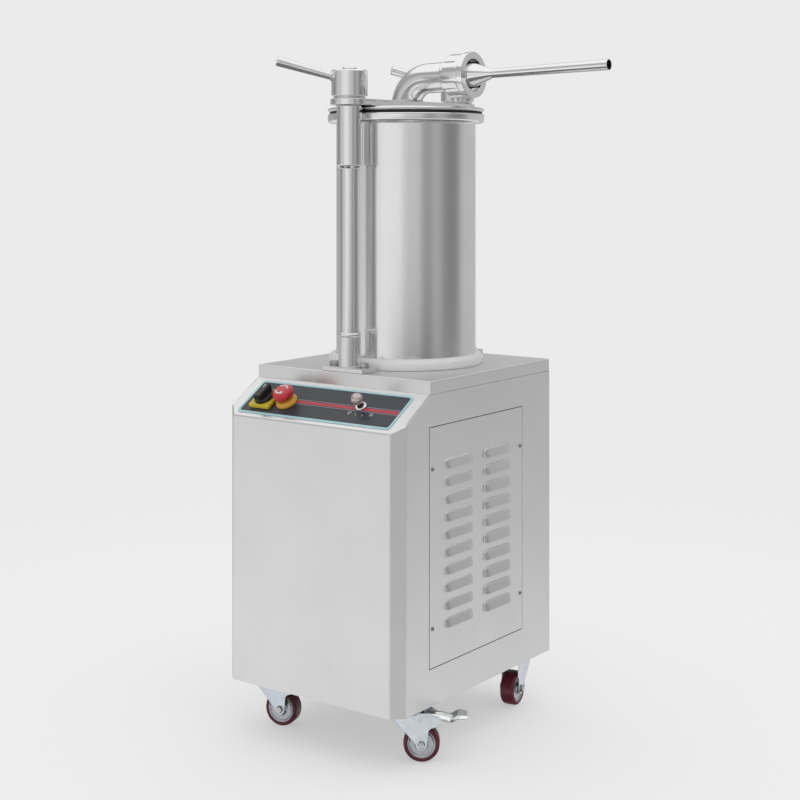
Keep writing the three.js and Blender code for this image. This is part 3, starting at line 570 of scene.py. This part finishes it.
def deck_cover():
    bm = softened(block(-DECK, DECK, -DECK, DECK, SKIRT_BOTTOM, DECK_TOP), 2.6, 5)
    low = [f for f in bm.faces if f.normal.z < -0.1 or f.calc_center_median().z < SKIRT_BOTTOM + 2.59]
    bmesh.ops.delete(bm, geom=low, context="FACES")
    for vert in bm.verts:
        if vert.co.z < SKIRT_BOTTOM + 3:
            vert.co.z = SKIRT_BOTTOM
    holes = [cylinder(NECK_HOLE_R, 600, 700)]
    holes += [cylinder(POST_HOLE_R, 600, 700, 0, y) for y in (POST_Y, -POST_Y)]
    shape = cut(thickened(bm, SHEET_THICKNESS), *holes)
    add("deck_cover_skin", shape, "cabinet", SHEET, ["deck_cover"])


def back_panel():
    outline = rectangle(-197.7, 197.7, CABINET_BOTTOM, SKIRT_BOTTOM - 0.3, 1.0)
    bm = plate(outline, -DECK, SHEET_THICKNESS - DECK, [circle(*GLAND_AT, GLAND_HOLE_R)], 0.5)
    add("back_panel_skin", bm, "cabinet", SHEET, ["back_panel"], FACING)
    gland_at = moved(GLAND_AT[0], DECK, GLAND_AT[1]) @ turned(-90, "X")
    collar = [(5, 8), (11.5, 8, 1), (11.5, 13, 2), (9, 16, 1.5), (5.6, 16, 0.8)]
    shape = joined(
        hexagon(24, 0.4, 7.6, 1.0), lathe(rounded(collar, 0.5, 3), 48, closed=True),
        lathe([(5, -14), (9.8, -14), (9.8, 0.6), (5, 0.6)], 48, closed=True),
    )
    add("cable_gland_body", shape, "cabinet", BLACK, ["cable_gland"], gland_at)


def cabinet():
    front_cover()
    deck_cover()
    back_panel()
    for side, word in ((1, "right"), (-1, "left")):
        side_panel(f"side_panel_{word}", side)
        louvre_panel(f"louvre_panel_{word}", side)


# ---------------------------------------------------------------- drum and piston
def drum():
    profile = [
        (WALL_R, FOOT, 0), (WALL_R, RIM_BOTTOM, 2), (RIM_R, RIM_BOTTOM, 9), (RIM_R, RIM_EDGE, 7.5),
        (143.5, RIM_EDGE, 0.5), (143.5, 1138, 0.4), (138.5, 1138, 0.4), (138.5, DRUM_TOP, 0.5),
        (BORE_R, DRUM_TOP, 0.8), (BORE_R, 676, 3), (ROD_R, 676, 0.5), (ROD_R, 668, 0), (BORE_R, 668, 0),
        (BORE_R, FOOT, 0),
    ]
    add("drum_shell", lathe(rounded(profile, 1, 6), 160, closed=True), "cabinet",
        DRUM_STEEL, ["drum"])
    ring = [(133.8, FOOT, 0), (147.5, FOOT, 1), (149, 670, 5), (147.6, 678.5, 5), (142, 684.2, 4),
        (136.5, 685.3, 1.5), (133.8, 684.6, 0.5)]
    add("drum_base_ring_body", lathe(rounded(ring, 1, 5), 160, closed=True), "cabinet",
        NYLON, ["drum_base_ring"])
    lip = lathe(rounded([(139, 1139.6), (146.5, 1139.6), (146.5, 1142.3), (139, 1142.3)], 0.5, 2), 160,
        closed=True)
    gasket = joined(torus(141, 1.75, DRUM_TOP - 1.9, 160), lip)
    add("lid_gasket_ring", gasket, "cabinet", RUBBER, ["lid_gasket"])


def piston():
    body = [
        (ROD_R, 678, 0.5), (PISTON_R, 678, 1.5), (PISTON_R, 692, 0.4), (122.4, 692, 0.4),
        (122.4, 704, 0.4), (PISTON_R, 704, 0.4), (PISTON_R, 718, 2.5), (40, 718, 1), (36, 716.5, 1),
        (0, 716.5, 0), (0, 705.3, 0), (ROD_R, 705.3, 0),
    ]
    add("piston_body", lathe(rounded(body, 1, 4), 160, closed=True), "piston", SATIN,
        ["piston"])
    seal = [(122.7, 692.3), (129.65, 692.3), (129.65, 703.7), (122.7, 703.7)]
    add("piston_seal_ring", lathe(rounded(seal, 1.2, 3), 160, closed=True), "piston",
        NYLON, ["piston_seal"])
    rod = [(0, 120), (45, 120, 1.5), (45, 146, 1.5), (25, 146, 1), (25, 705, 1.5), (0, 705)]
    add("piston_rod_body", lathe(rounded(rod, 1, 3, False), 96), "piston", CHROME, ["piston_rod"])


# ---------------------------------------------------------------- posts and clamps
def post(end, y):
    column = [(0, 651), (SHAFT_R, 651, 0), (SHAFT_R, 1036.5, 1), (COLLAR_R, 1041, 2),
        (COLLAR_R, COLLAR_TOP, 1.6), (STUD_R, COLLAR_TOP, 0.6), (STUD_R, 1219.5, 1.5), (11, 1222, 0.8),
        (0, 1222)]
    at = moved(0, y, 0)
    add(f"{end}_post_column", lathe(rounded(column, 1, 4, False), 96), "cabinet",
        POLISHED, [f"{end}_post"], at)
    foot = plate(rectangle(-47, 47, -23, 23, 3), FOOT, 673.3, [circle(0, 0, POST_HOLE_R)], 0.9)
    sleeve = [(POST_HOLE_R, 673), (20.6, 673, 0), (20.6, 729, 0.8), (21.6, 730.2, 0.8), (21.6, 734, 1.2),
        (19.6, SLEEVE_TOP, 0.8), (POST_HOLE_R, SLEEVE_TOP, 0.2)]
    shape = joined(foot, lathe(rounded(sleeve, 0.5, 3), 96, closed=True))
    add(f"{end}_post_base_body", shape, "cabinet", SATIN, [f"{end}_post_base"], at)
    add(f"{end}_post_base_weld", torus(20.4, 2.2, 673.6, 96), "cabinet", WELD, (), at)
    for side, x in (("left", -35), ("right", 35)):
        spot = at @ moved(x, 0, 673.3)
        washer = lathe(rounded([(0, 0), (9.2, 0, 0), (9.2, 1.6, 0.4), (0, 1.6)], 0.4, 2, False), 40)
        shape = joined(washer, hexagon(15.5, 1.6, 8.2, 1.0))
        add(f"{end}_post_bolt_{side}", shape, "cabinet", BOLT_STEEL, (),
            spot @ turned(12 if x > 0 else 41, "Z"))


def clamp(end, y):
    at = moved(0, y, 0)
    washer = [(STUD_HOLE_R, 1163.8), (30, 1163.8), (30, 1166.2), (STUD_HOLE_R, 1166.2)]
    add(f"{end}_washer_disc", lathe(rounded(washer, 0.7, 3), 96, closed=True), f"{end}_washer",
        SATIN, [f"{end}_washer"], at)
    top = NUT_BOTTOM + CLAMP_HEIGHT
    nut = [
        (STUD_HOLE_R, NUT_BOTTOM, 0.5), (28.5, NUT_BOTTOM, 0.3), (28.5, NUT_BOTTOM + 1.9, 0.3),
        (32.4, NUT_BOTTOM + 1.9, 0.4), (CLAMP_R, NUT_BOTTOM + 2.8, 0.5), (CLAMP_R, top - 2.6, 0.6),
        (30.9, top, 0.6), (18, top, 0.8), (16, top - 2, 0.8), (STUD_HOLE_R, top - 2, 0.3),
    ]
    handle_way = moved(0, 0, NUT_BOTTOM + 28.8) @ turned(HANDLE_HEADING, "Z") @ turned(90 - HANDLE_RISE, "Y")
    handle_at = at @ handle_way
    socket = placed(cylinder(7.3, 22, 40, segments=32), handle_way)
    shape = cut(lathe(rounded(nut, 1, 4), 96, closed=True), socket)
    add(f"{end}_nut_body", shape, f"{end}_clamp", POLISHED, [f"{end}_nut"], at)
    tip = HANDLE_REACH / math.cos(math.radians(HANDLE_RISE)) - 2
    handle = [(0, 22.5), (7, 22.5, 0.5), (7, 34, 1), (7.2, 40, 1), (9.4, tip - 4, 2.5), (9, tip, 2), (0, tip)]
    add(f"{end}_handle_bar", lathe(rounded(handle, 1, 5, False), 64), f"{end}_clamp",
        POLISHED, [f"{end}_handle"], handle_at)
    add(f"{end}_handle_weld", torus(7.6, 1.5, 33.2, 48), f"{end}_clamp", WELD, (),
        handle_at)


# ---------------------------------------------------------------- lid, elbow and spout
def arc(y, r, start, end, count):
    """Points on a circle about X 0 and the given Y, from one angle to another."""
    angles = [math.radians(start + (end - start) * k / count) for k in range(count + 1)]
    return [(r * math.cos(a), y + r * math.sin(a)) for a in angles]


def lid():
    disc = [(28.8, LID[0], 0.3), (145.5, LID[0], 1.5), (RIM_R, LID[0] + 3.4, 2), (RIM_R, LID[1] - 2.5, 3),
        (146, LID[1], 3), (28.8, LID[1], 0.3)]
    add("lid_disc", lathe(rounded(disc, 1, 5), 160, closed=True), "lid", POLISHED, ["lid"])
    r, hole = 35.0, STUD_HOLE_R
    lip = math.sqrt(r * r - hole * hole)
    start = math.degrees(math.atan2(hole, -lip))
    outline = arc(POST_Y, r, 0, 180, 32)
    outline += arc(-POST_Y, r, 180, start, 4)[:-1] + [(-lip, -POST_Y + hole)]
    outline += arc(-POST_Y, hole, 90, -90, 24)
    outline += [(-lip, -POST_Y - hole)] + arc(-POST_Y, r, 360 - start, 360, 28)[1:]
    holes = [circle(0, POST_Y, hole), circle(1.4, 0, 31.6, 64)]
    add("yoke_bar_plate", plate(outline, *YOKE, holes, 1.6, 3), "lid", POLISHED,
        ["yoke_bar"])


def elbow():
    path = [(Vector((0, 0, LID[0] + 0.3)), Vector((0, 0, 1))),
        (Vector((0, 0, BEND_START)), Vector((0, 0, 1)))]
    for k in range(1, 25):
        a = BEND_ANGLE * k / 24
        place = Vector((BEND_R * (1 - math.cos(a)), 0, BEND_START + BEND_R * math.sin(a)))
        path.append((place, Vector((math.sin(a), 0, math.cos(a)))))
    along = path[-1][1]
    path.append((BEND_END + along * TAIL, along))
    bore = PIPE_R - 3
    bm = swept(path, circle(0, 0, PIPE_R, 72), capped=False)
    inner = swept(path, circle(0, 0, bore, 72), capped=False)
    shape = joined(bm, inner)
    bmesh.ops.bridge_loops(shape, edges=[e for e in shape.edges if e.is_boundary and e.verts[0].co.z < 1150])
    bmesh.ops.bridge_loops(shape, edges=[e for e in shape.edges if e.is_boundary])
    add("elbow_pipe", shape, "lid", POLISHED, ["elbow"])
    start, end = FERRULE
    ferrule = [(27.6, start, 0), (30.4, start, 1.2), (32, start + 2, 1.2), (32, end, 1.2), (27.6, end, 0)]
    turns = [(35.5 - (0.9 if k % 2 else 0), THREAD_START + 1.5 * k, 0.3) for k in range(13)]
    thread = [(27.6, THREAD_START, 0), *turns, (27.6, TAIL, 0)]
    shape = joined(lathe(rounded(ferrule, 0.5, 3), 96, closed=True),
        lathe(rounded(thread, 0.3, 2), 96, closed=True))
    add("elbow_collars", shape, "lid", POLISHED, ["elbow"], SPOUT)
    add("elbow_weld", placed(torus(29.6, 2.6, YOKE[1] + 0.4, 96), moved(1.6, 0, 0)), "lid",
        WELD)


def spout():
    grip, rear, front, lip = 43.45, 55.0, 102.0, 84.0
    nut = [
        (36.6, rear, 0.4), (grip - 3.5, rear, 1), (grip - 2, rear + 2, 1), (grip - 2, front - 16.5, 0.5),
        (grip - 2.6, front - 15.5, 0.5), (grip - 2.6, front - 13.5, 0.5), (grip, front - 12.5, 0.8),
        (grip, front, 1.6), (30.25, front, 1.2), (30.25, lip, 0.4), (36.6, lip, 0.4),
    ]
    slot = (grip - 5, grip + 5, -6.5, 6.5, rear - 1, rear + 27)
    slots = [placed(block(*slot), turned(60 * k, "Z")) for k in range(6)]
    shape = softened(cut(lathe(rounded(nut, 1, 4), 120, closed=True), *slots), 0.5, 2, 60)
    add("coupling_nut_body", shape, "coupling_nut", POLISHED, ["coupling_nut"], SPOUT)
    wall = 1.2
    outer = [(35.8, 74.3, 0.4), (35.8, 82, 0.8), (25, 82, 0.8), (25, 96, 1.5), (8.6, 143, 3),
        (10, 386.5, 0.6)]
    inner = [(10 - wall, 386.5, 0.4), (8.6 - wall, 144, 3), (25 - 2 * wall, 95, 1.5),
        (25 - 2 * wall, 74.3, 0.3)]
    add("nozzle_tube", lathe(rounded(outer + inner, 1, 5), 72, closed=True), "nozzle",
        POLISHED, ["nozzle"], SPOUT)


# ---------------------------------------------------------------- console
def label():
    base, field, print_top = 0.3, 1.05, 1.25
    holes = [circle(x, v, r) for x, v, r in FITTINGS.values()]
    add("label_border", plate(rectangle(-177, 173, 8, 99.5, 9), base, field, holes, 0.2), "cabinet",
        LABEL_EDGE, ["label_plate"], CONSOLE)
    add("label_field", plate(rectangle(-172, 168.5, 13, 94.5, 6.5), field - 0.15, print_top, holes, 0.1),
        "cabinet", LABEL, ["label_plate"], CONSOLE)
    low, high = print_top - 0.1, print_top + 0.12

    def band(name, material, v0, v1, x0=-69.0, x1=168.0):
        shape = plate(rectangle(x0, x1, v0, v1, 0.2), low, high, (), 0.03)
        shape = cut(shape, cylinder(10.6, -5, 9, 82.4, 56.4))
        add(name, shape, "cabinet", material, (), CONSOLE)

    band("label_stripe_red", STRIPE_RED, 48.4, 55.4)
    band("label_line_upper", STRIPE_GREY, 57.2, 58.4)
    band("label_line_lower", STRIPE_GREY, 45.4, 46.6)
    marks = [plate(circle(x, 40, 3.2, 32), low, high, [circle(x, 40, 2.3, 32)], 0.03) for x in (67.5, 115)]
    ticks = [
        plate(rectangle(x - 0.5, x + 0.5, 34, 38, 0.1), low, high, (), 0.03)
        for x in (82.4 + 15 * k for k in (-1, 0, 1))
    ]
    add("label_marks", joined(*marks, *ticks), "cabinet", WHITE_PRINT, (), CONSOLE)


def isolator():
    x, v, _ = FITTINGS["switch"]
    at = CONSOLE @ moved(x, v, 0)
    base = plate(rectangle(-24, 24, -24, 24, 4.5), 1.8, 8.8, [circle(0, 0, 5.3)], 1.3, 3)
    ring = lathe(rounded([(20.2, 8.4), (22.2, 8.4), (22.2, 9.6), (20.2, 9.6)], 0.4, 2), 64, closed=True)
    shank = lathe([(5.3, -32), (11, -32), (11, 2), (5.3, 2)], 48, closed=True)
    add("switch_base_plate", joined(base, ring, shank), "cabinet", YELLOW,
        ["switch_base"], at)
    dial = [(0, 9.1), (19.6, 9.1, 0.4), (19.2, 13.6, 1.2), (17.6, 16.8, 1.5), (0, 16.8)]
    grip = plate(rectangle(-8, 8, -20, 20, 4.5), 15.8, 27.8, (), 2.2, 4)
    stem = cylinder(5, -28, 10)
    add("switch_knob_body", joined(lathe(rounded(dial, 0.6, 4, False), 64), grip, stem), "switch_knob",
        BLACK, ["switch_knob"], at)
    mark = plate(rectangle(-0.9, 0.9, 6, 15.5, 0.5), 27.7, 27.95, (), 0.05)
    add("switch_knob_mark", mark, "switch_knob", WHITE_PRINT, (), at)


def stop_button():
    x, v, _ = FITTINGS["estop"]
    at = CONSOLE @ moved(x, v, 0)
    collar = [(8.3, -32, 0), (11, -32, 0), (11, 1.8, 0), (20.5, 1.8, 0.3), (20.5, 5.4, 1.2),
        (16, 10.8, 1.5), (8.3, 10.8, 0.4)]
    add("estop_collar_ring", lathe(rounded(collar, 1, 4), 80, closed=True), "cabinet",
        COLLAR_YELLOW, ["estop_collar"], at)
    head = 17.3
    button = [(0, -24), (8, -24, 0.5), (8, head, 0.5), (18.5, head, 1), (20, head + 2, 1.5),
        (20, head + 8.5, 3), (16.5, head + 13, 3), (9, head + 14.6, 3), (0, head + 15)]
    add("estop_button_head", lathe(rounded(button, 1, 5, False), 80), "estop_button", RED,
        ["estop_button"], at)

    def crown(r):
        return head + 14.95 - 0.4 * (r / 9) ** 2 if r < 9 else head + 14.6 - (r - 9) * 0.21

    bm = bmesh.new()
    for start in (20, 200):
        rows = []
        for k in range(15):
            a = math.radians(start + 95 * k / 14)
            row = [(r * math.cos(a), r * math.sin(a), crown(r) + 0.12) for r in (9.6, 12.4)]
            rows.append([bm.verts.new(corner) for corner in row])
        for p, q in zip(rows, rows[1:]):
            bm.faces.new([p[0], p[1], q[1], q[0]])
        a, b = math.radians(start + 95), math.radians(start + 122)
        tip = [(7.4, a), (14.6, a), (11.0, b)]
        bm.faces.new([bm.verts.new((r * math.cos(t), r * math.sin(t), crown(r) + 0.12)) for r, t in tip])
    add("estop_button_arrows", thickened(bm, 0.3), "estop_button", WHITE_PRINT, (), at)


def speed_lever():
    x, v, _ = FITTINGS["lever"]
    at = CONSOLE @ moved(x, v, 0)
    bezel = [(7.6, -6, 0), (8, -6, 0), (8, 1.8, 0), (11, 1.8, 0.3), (11, 4, 0.8), (9.6, 5.8, 0.8),
        (7.6, 5.8, 0.3)]
    add("lever_bezel_ring", lathe(rounded(bezel, 0.5, 4), 64, closed=True), "cabinet", CHROME,
        ["lever_bezel"], at)
    lean = at @ turned(7, "X")
    # The ball's pink tint is a painted reflection of the label's red stripe.
    ball = bmesh.new()
    bmesh.ops.create_uvsphere(ball, u_segments=48, v_segments=24, radius=11)
    ball.transform(moved(0, 0, 22))
    add("speed_lever_ball", ball, "speed_lever", LEVER_BALL_WITH_PAINTED_REFLECTION, ["speed_lever"], lean)
    stem = [(0, -5), (3.5, -4, 1), (5, 0, 1), (3.2, 4, 1), (3, 14), (0, 14)]
    add("speed_lever_stem", lathe(rounded(stem, 1, 4, False), 40), "speed_lever", CHROME,
        (), lean)
    boot = [(3.0, 2.5), (5.5, 3.0), (5.7, 4.4), (4.9, 5.4), (5.5, 6.6), (4.5, 7.6), (5.0, 8.8),
        (4.0, 9.8), (4.2, 11.2), (3.0, 11.4)]
    add("speed_lever_boot", lathe(rounded(boot, 0.6, 3), 48, closed=True), "speed_lever",
        RUBBER, (), lean)


# ---------------------------------------------------------------- casters
def caster_plate(name, at):
    top = 97.2
    sheet = plate(rectangle(-32, 32, -30, 30, 5), 94.2, top, (), 0.4)
    race = [(0, 82), (5, 82, 0), (5, 89, 0), (22, 89, 0.5), (24.5, 92.5, 2), (24.5, 94.6, 0), (0, 94.6)]
    spots = [moved(x, y, 0) for x in (-25.6, 25.6) for y in (-23.4, 23.4)]
    bolts = [placed(hexagon(10, 89.8, 94.4, 0.6), spot) for spot in spots]
    shape = joined(sheet, lathe(rounded(race, 0.5, 4, False), 64), *bolts)
    add(f"{name}_caster_top", shape, "cabinet", ZINC, [f"{name}_caster_plate"], at)


def caster_fork(name, at, brake):
    x0, z0 = WHEEL
    crown = [(5.3, 84.5, 0), (26, 84.5, 0.8), (27, 86, 1.2), (25.4, 88.7, 2.2), (18, 88.7, 1),
        (16.5, 87.6, 1), (5.3, 87.6, 0)]
    outline = [(-24, 88, 1), (-24, 78, 6), (x0 - 10.4, z0 + 1.5, 7)]
    angles = [math.radians(180 + 180 * k / 16) for k in range(17)]
    boss = [(x0 + 10 * math.cos(a), z0 + 10 * math.sin(a), 0) for a in angles]
    outline += boss + [(x0 + 12.5, 60, 7)]
    outline += [(60, 66, 4), (62, 76, 4), (41, 88, 3)] if brake else [(37, 88, 3)]
    legs = [
        placed(plate(rounded(outline, 2, 4), a, b, [circle(x0, z0, 4.3, 24)], 0.5), FACING)
        for a, b in ((16.5, 19.0), (-19.0, -16.5))
    ]
    shape = joined(lathe(rounded(crown, 0.5, 4), 72, closed=True), *legs)
    if brake:
        pin = placed(cylinder(2.2, -20.4, 20.4, segments=24), moved(34, 0, 80) @ turned(90, "X"))
        shape = joined(shape, pin)
    add(f"{name}_fork_body", shape, f"{name}_fork", ZINC, [f"{name}_caster_fork"], at)


def caster_axle(name, at):
    head = hexagon(12.4, 19.3, 23.8, 0.8)
    nut = joined(hexagon(12.4, -22.6, -19.3, 0.7),
        lathe(rounded([(0, -23.8), (4.4, -23.8, 1), (5.2, -22.5, 0.5), (0, -22.5)], 0.5, 3, False), 32))
    shank = cylinder(4, -19.5, 19.5, segments=32)
    add(f"{name}_axle_bolt", joined(head, nut, shank), f"{name}_fork", BOLT_STEEL,
        [f"{name}_caster_axle"], at @ moved(WHEEL[0], 0, WHEEL[1]) @ turned(90, "X"))


def caster_wheel(name, at):
    at = at @ moved(WHEEL[0], 0, WHEEL[1]) @ turned(90, "X")
    r = WHEEL[1]
    tread = [(24.4, -13.4, 0.5), (25.6, -14, 0.8), (29.2, -14, 2.5), (r - 0.3, -10.6, 3), (r, 0, 6),
        (r - 0.3, 10.6, 3), (29.2, 14, 2.5), (25.6, 14, 0.8), (24.4, 13.4, 0.5)]
    add(f"{name}_wheel_tread", lathe(rounded(tread, 1, 4), 96, closed=True), f"{name}_wheel",
        TREAD, [f"{name}_wheel"], at)
    side = [(4.3, 14, 0.3), (9.5, 14, 0.8), (10.5, 12.4, 0.8), (12, 11, 1), (20.5, 11, 1.5),
        (23, 13, 0.8), (24.6, 13, 0.3)]
    hub = side + [(a, -b, c) for a, b, c in reversed(side)]
    add(f"{name}_wheel_hub", lathe(rounded(hub, 0.5, 3), 96, closed=True), f"{name}_wheel",
        HUB, [f"{name}_wheel"], at)


def brake_pedal(name, at):
    """A pressed strip with a raised middle, a broad end pad and a shoe over the wheel."""
    path = rounded([(30, 84.4), (38, 86.5, 3), (62, 82.5, 9), (79, 78.5, 6), (90, 85, 5), (106, 83, 4)],
        3, 5, False)
    bm = bmesh.new()
    rows = []
    columns = 12
    for x, z in path:
        far = max(0.0, min(1.0, (x - 74) / 10))
        near_tip = max(0.0, (x - 98) / 8)
        half = 16.4 + 5.0 * far * far * (3 - 2 * far) - 4 * near_tip * near_tip
        row = []
        for k in range(columns + 1):
            u = 2 * k / columns - 1
            flange = -8.5 * max(0.0, (abs(u) - 0.72) / 0.28) ** 2 * (1 - 0.55 * far)
            ridge = 2.4 * max(0.0, 1 - (abs(u) / 0.5) ** 2) * (1 - far) * (x > 36)
            row.append(bm.verts.new((x, u * half, z + flange + ridge)))
        rows.append(row)
    for a, b in zip(rows, rows[1:]):
        for k in range(columns):
            bm.faces.new([a[k], b[k], b[k + 1], a[k + 1]])
    strip = thickened(bm, 2.2)
    ear = rounded([(29.5, 75.8), (40, 75.8), (58, 76), (60, 81), (40, 84.5), (30, 83.5)], 2.5, 3)
    ears = [
        placed(plate(ear, a, b, [circle(34, 80, 2.5, 24)], 0.3), FACING)
        for a, b in ((14.2, 16.0), (-16.0, -14.2))
    ]
    shoe = softened(block(50, 54.6, -13, 13, 61.5, 80), 1.0, 3)
    add(f"{name}_pedal_body", joined(strip, *ears, shoe), f"{name}_pedal", CHROME,
        [f"{name}_brake_pedal"], at, sharp=45)


def casters():
    for name, (x, y, heading, brake) in SWIVELS.items():
        fixed = moved(x, y, 0)
        free = fixed @ turned(heading, "Z")
        caster_plate(name, fixed)
        caster_fork(name, free, brake)
        caster_axle(name, free)
        caster_wheel(name, free)
        if brake:
            brake_pedal(name, free)


# ---------------------------------------------------------------- pieces kept from the CAD
KEPT = {
    "welded_frame": FRAME_STEEL, "hydraulic_cylinder": FRAME_STEEL, "gear_pump": FRAME_STEEL,
    "valve_block": FRAME_STEEL, "motor": PAINT, "oil_tank": PAINT,
}


def finish_kept():
    for node, material in KEPT.items():
        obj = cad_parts[node]
        obj.data.materials.clear()
        obj.data.materials.append(material)
        obj.modifiers.new("merge", "WELD").merge_threshold = 1e-5
        edge = obj.modifiers.new("edge", "BEVEL")
        edge.width = 0.0012
        edge.segments = 2
        edge.angle_limit = math.radians(35)


# ---------------------------------------------------------------- floor, light and camera
CAMERA_AT = Vector((1.7835, -2.4392, 1.0452))
CAMERA_AHEAD = Vector((-0.59328, 0.80500, 0.0))
CAMERA_LEAN = Vector((0, 0, -0.15040))
CAMERA_LENS = 70.79
CAMERA_ANGLE = math.radians(-53.6)
FLOOR_R = 2.4
FLOOR_FADE = {"From Min": 0.8, "From Max": 2.2}
FLOOR_GLOW = 0.44
BACKGROUND = linear(235, 235, 235)


def floor():
    """A pale floor that fades out. Polished parts don't mirror it: they see the panels instead."""
    bm = bmesh.new()
    bmesh.ops.create_circle(bm, cap_ends=True, segments=96, radius=FLOOR_R)
    mesh = bpy.data.meshes.new("floor")
    bm.to_mesh(mesh)
    bm.free()
    obj = bpy.data.objects.new("floor", mesh)
    bpy.context.scene.collection.objects.link(obj)
    material = bpy.data.materials.new("floor_finish")
    material.use_nodes = True
    g = Graph(material.node_tree)
    place = g.node("TexCoord").outputs["Object"]
    reach = g.node("VectorMath", {0: place}, operation="LENGTH").outputs["Value"]
    fade = g.node("MapRange", {"Value": reach, **FLOOR_FADE}, interpolation_type="SMOOTHSTEP")
    matt = g.node("BsdfDiffuse", {"Color": (0.52, 0.52, 0.52, 1)}).outputs[0]
    glow = g.node("Emission", {"Color": (1, 1, 1, 1), "Strength": FLOOR_GLOW}).outputs[0]
    lit = g.node("AddShader", {0: matt, 1: glow}).outputs[0]
    clear = g.node("BsdfTransparent").outputs[0]
    glossy = g.node("LightPath").outputs["Is Glossy Ray"]
    gone = g.math("MAXIMUM", fade.outputs["Result"], glossy)
    mixed = g.node("MixShader", {0: gone, 1: lit, 2: clear}).outputs[0]
    g.node("OutputMaterial", {"Surface": mixed})
    mesh.materials.append(material)


# Panels round the machine by their heading from the camera, to its right, in degrees: their brightness.
LEVEL_PANELS = [
    (-180, 0.50), (-150, 0.40), (-130, 0.36), (-115, 0.28), (-101, 0.29), (-89, 0.46), (-79, 0.58),
    (-60, 0.60), (-51, 0.67), (-43, 0.80), (-35, 0.84), (-10, 0.84), (-3, 0.67), (4, 0.59), (20, 0.58),
    (29, 0.36), (38, 0.32), (47, 0.43), (55, 0.42), (64, 0.29), (73, 0.23), (86, 0.22), (95, 0.30),
    (106, 0.50), (124, 0.52), (141, 0.52), (160, 0.52), (180, 0.50),
]
LOW_PANELS = [
    (-180, 0.55), (-95, 0.82), (-73, 0.96), (-45, 0.84), (-30, 0.55), (-15, 0.12), (0, 0.01),
    (35, 0.01), (50, 0.18), (75, 0.28), (100, 0.40), (106, 0.42), (130, 0.46), (180, 0.50),
]
LOWEST_PANELS = [
    (-180, 0.62), (-110, 0.96), (-73, 1.0), (-45, 1.0), (-20, 0.96), (0, 0.92), (35, 0.92), (60, 0.86),
    (90, 0.92), (107, 0.94), (130, 0.80), (180, 0.62),
]
STEEP_PANELS = [(-180, 0.40), (-150, 0.16), (-60, 0.14), (0, 0.20), (60, 0.16), (150, 0.18), (180, 0.40)]


def panels(tones):
    return [((angle + 180) / 360, (tone, tone, tone)) for angle, tone in tones]


def studio():
    """Rings of pale and dark panels round the machine, from level to steep, and a plain backdrop."""
    world = bpy.data.worlds.new("studio")
    world.use_nodes = True
    bpy.context.scene.world = world
    g = Graph(world.node_tree)
    way = g.node("SeparateXYZ", {0: g.node("TexCoord").outputs["Generated"]})
    heading = g.math("ARCTAN2", way.outputs["Y"], way.outputs["X"])
    turn = g.math("WRAP", g.math("SUBTRACT", heading, CAMERA_ANGLE), math.pi, -math.pi)
    round_about = g.math("ADD", g.math("DIVIDE", turn, 2 * math.pi), 0.5)
    level = g.ramp(round_about, panels(LEVEL_PANELS))
    low = g.ramp(round_about, panels(LOW_PANELS))
    high = g.ramp(way.outputs["Z"], [(0.30, (0.40,) * 3), (0.52, (0.40,) * 3), (0.60, (1.0,) * 3)])

    def fade(start, end):
        height = {"Value": way.outputs["Z"], "From Min": start, "From Max": end}
        return g.node("MapRange", height).outputs["Result"]

    lower = g.node("MixRGB", {"Fac": fade(-0.11, -0.15), "Color1": level, "Color2": low}).outputs[0]
    upper = g.node("MixRGB", {"Fac": fade(0.20, 0.34), "Color1": lower, "Color2": high}).outputs[0]
    lowest = g.ramp(round_about, panels(LOWEST_PANELS))
    steep = g.ramp(round_about, panels(STEEP_PANELS))
    lighter = g.node("MixRGB", {"Fac": fade(-0.20, -0.28), "Color1": upper, "Color2": lowest}).outputs[0]
    whole = g.node("MixRGB", {"Fac": fade(-0.46, -0.54), "Color1": lighter, "Color2": steep}).outputs[0]
    light = g.node("Background", {"Color": whole, "Strength": 1.0}).outputs[0]
    plain = g.node("Background", {"Color": (*BACKGROUND, 1), "Strength": 1.0}).outputs[0]
    seen = g.node("LightPath").outputs["Is Camera Ray"]
    g.node("OutputWorld", {"Surface": g.node("MixShader", {0: seen, 1: light, 2: plain}).outputs[0]})


def camera():
    """A level camera with its view axis leaned down: upright edges stay upright in the picture."""
    leaned = CAMERA_AHEAD + CAMERA_LEAN
    data = bpy.data.cameras.new("camera")
    data.sensor_width = 36
    data.lens = CAMERA_LENS * leaned.length
    data.clip_end = 100
    obj = bpy.data.objects.new("camera", data)
    bpy.context.scene.collection.objects.link(obj)
    bpy.context.scene.camera = obj
    obj.location = AXIS + CAMERA_AT
    obj.rotation_euler = leaned.to_track_quat("-Z", "Y").to_euler()
    bpy.context.view_layer.update()
    right = CAMERA_AHEAD.cross(Vector((0, 0, 1)))
    upright = Matrix((right, Vector((0, 0, 1)), -leaned.normalized())).transposed().to_4x4()
    upright.translation = obj.location
    mount = bpy.data.objects.new("camera_mount", None)
    bpy.context.scene.collection.objects.link(mount)
    obj.parent = mount
    obj.matrix_parent_inverse = upright @ obj.matrix_basis.inverted()


cabinet()
drum()
piston()
for end, y in (("front", -POST_Y), ("rear", POST_Y)):
    post(end, y)
    clamp(end, y)
lid()
elbow()
spout()
label()
isolator()
stop_button()
speed_lever()
casters()
finish_kept()
floor()
studio()
camera()
bpy.context.scene.view_settings.view_transform = "Standard"
bpy.context.scene.view_settings.look = "None"
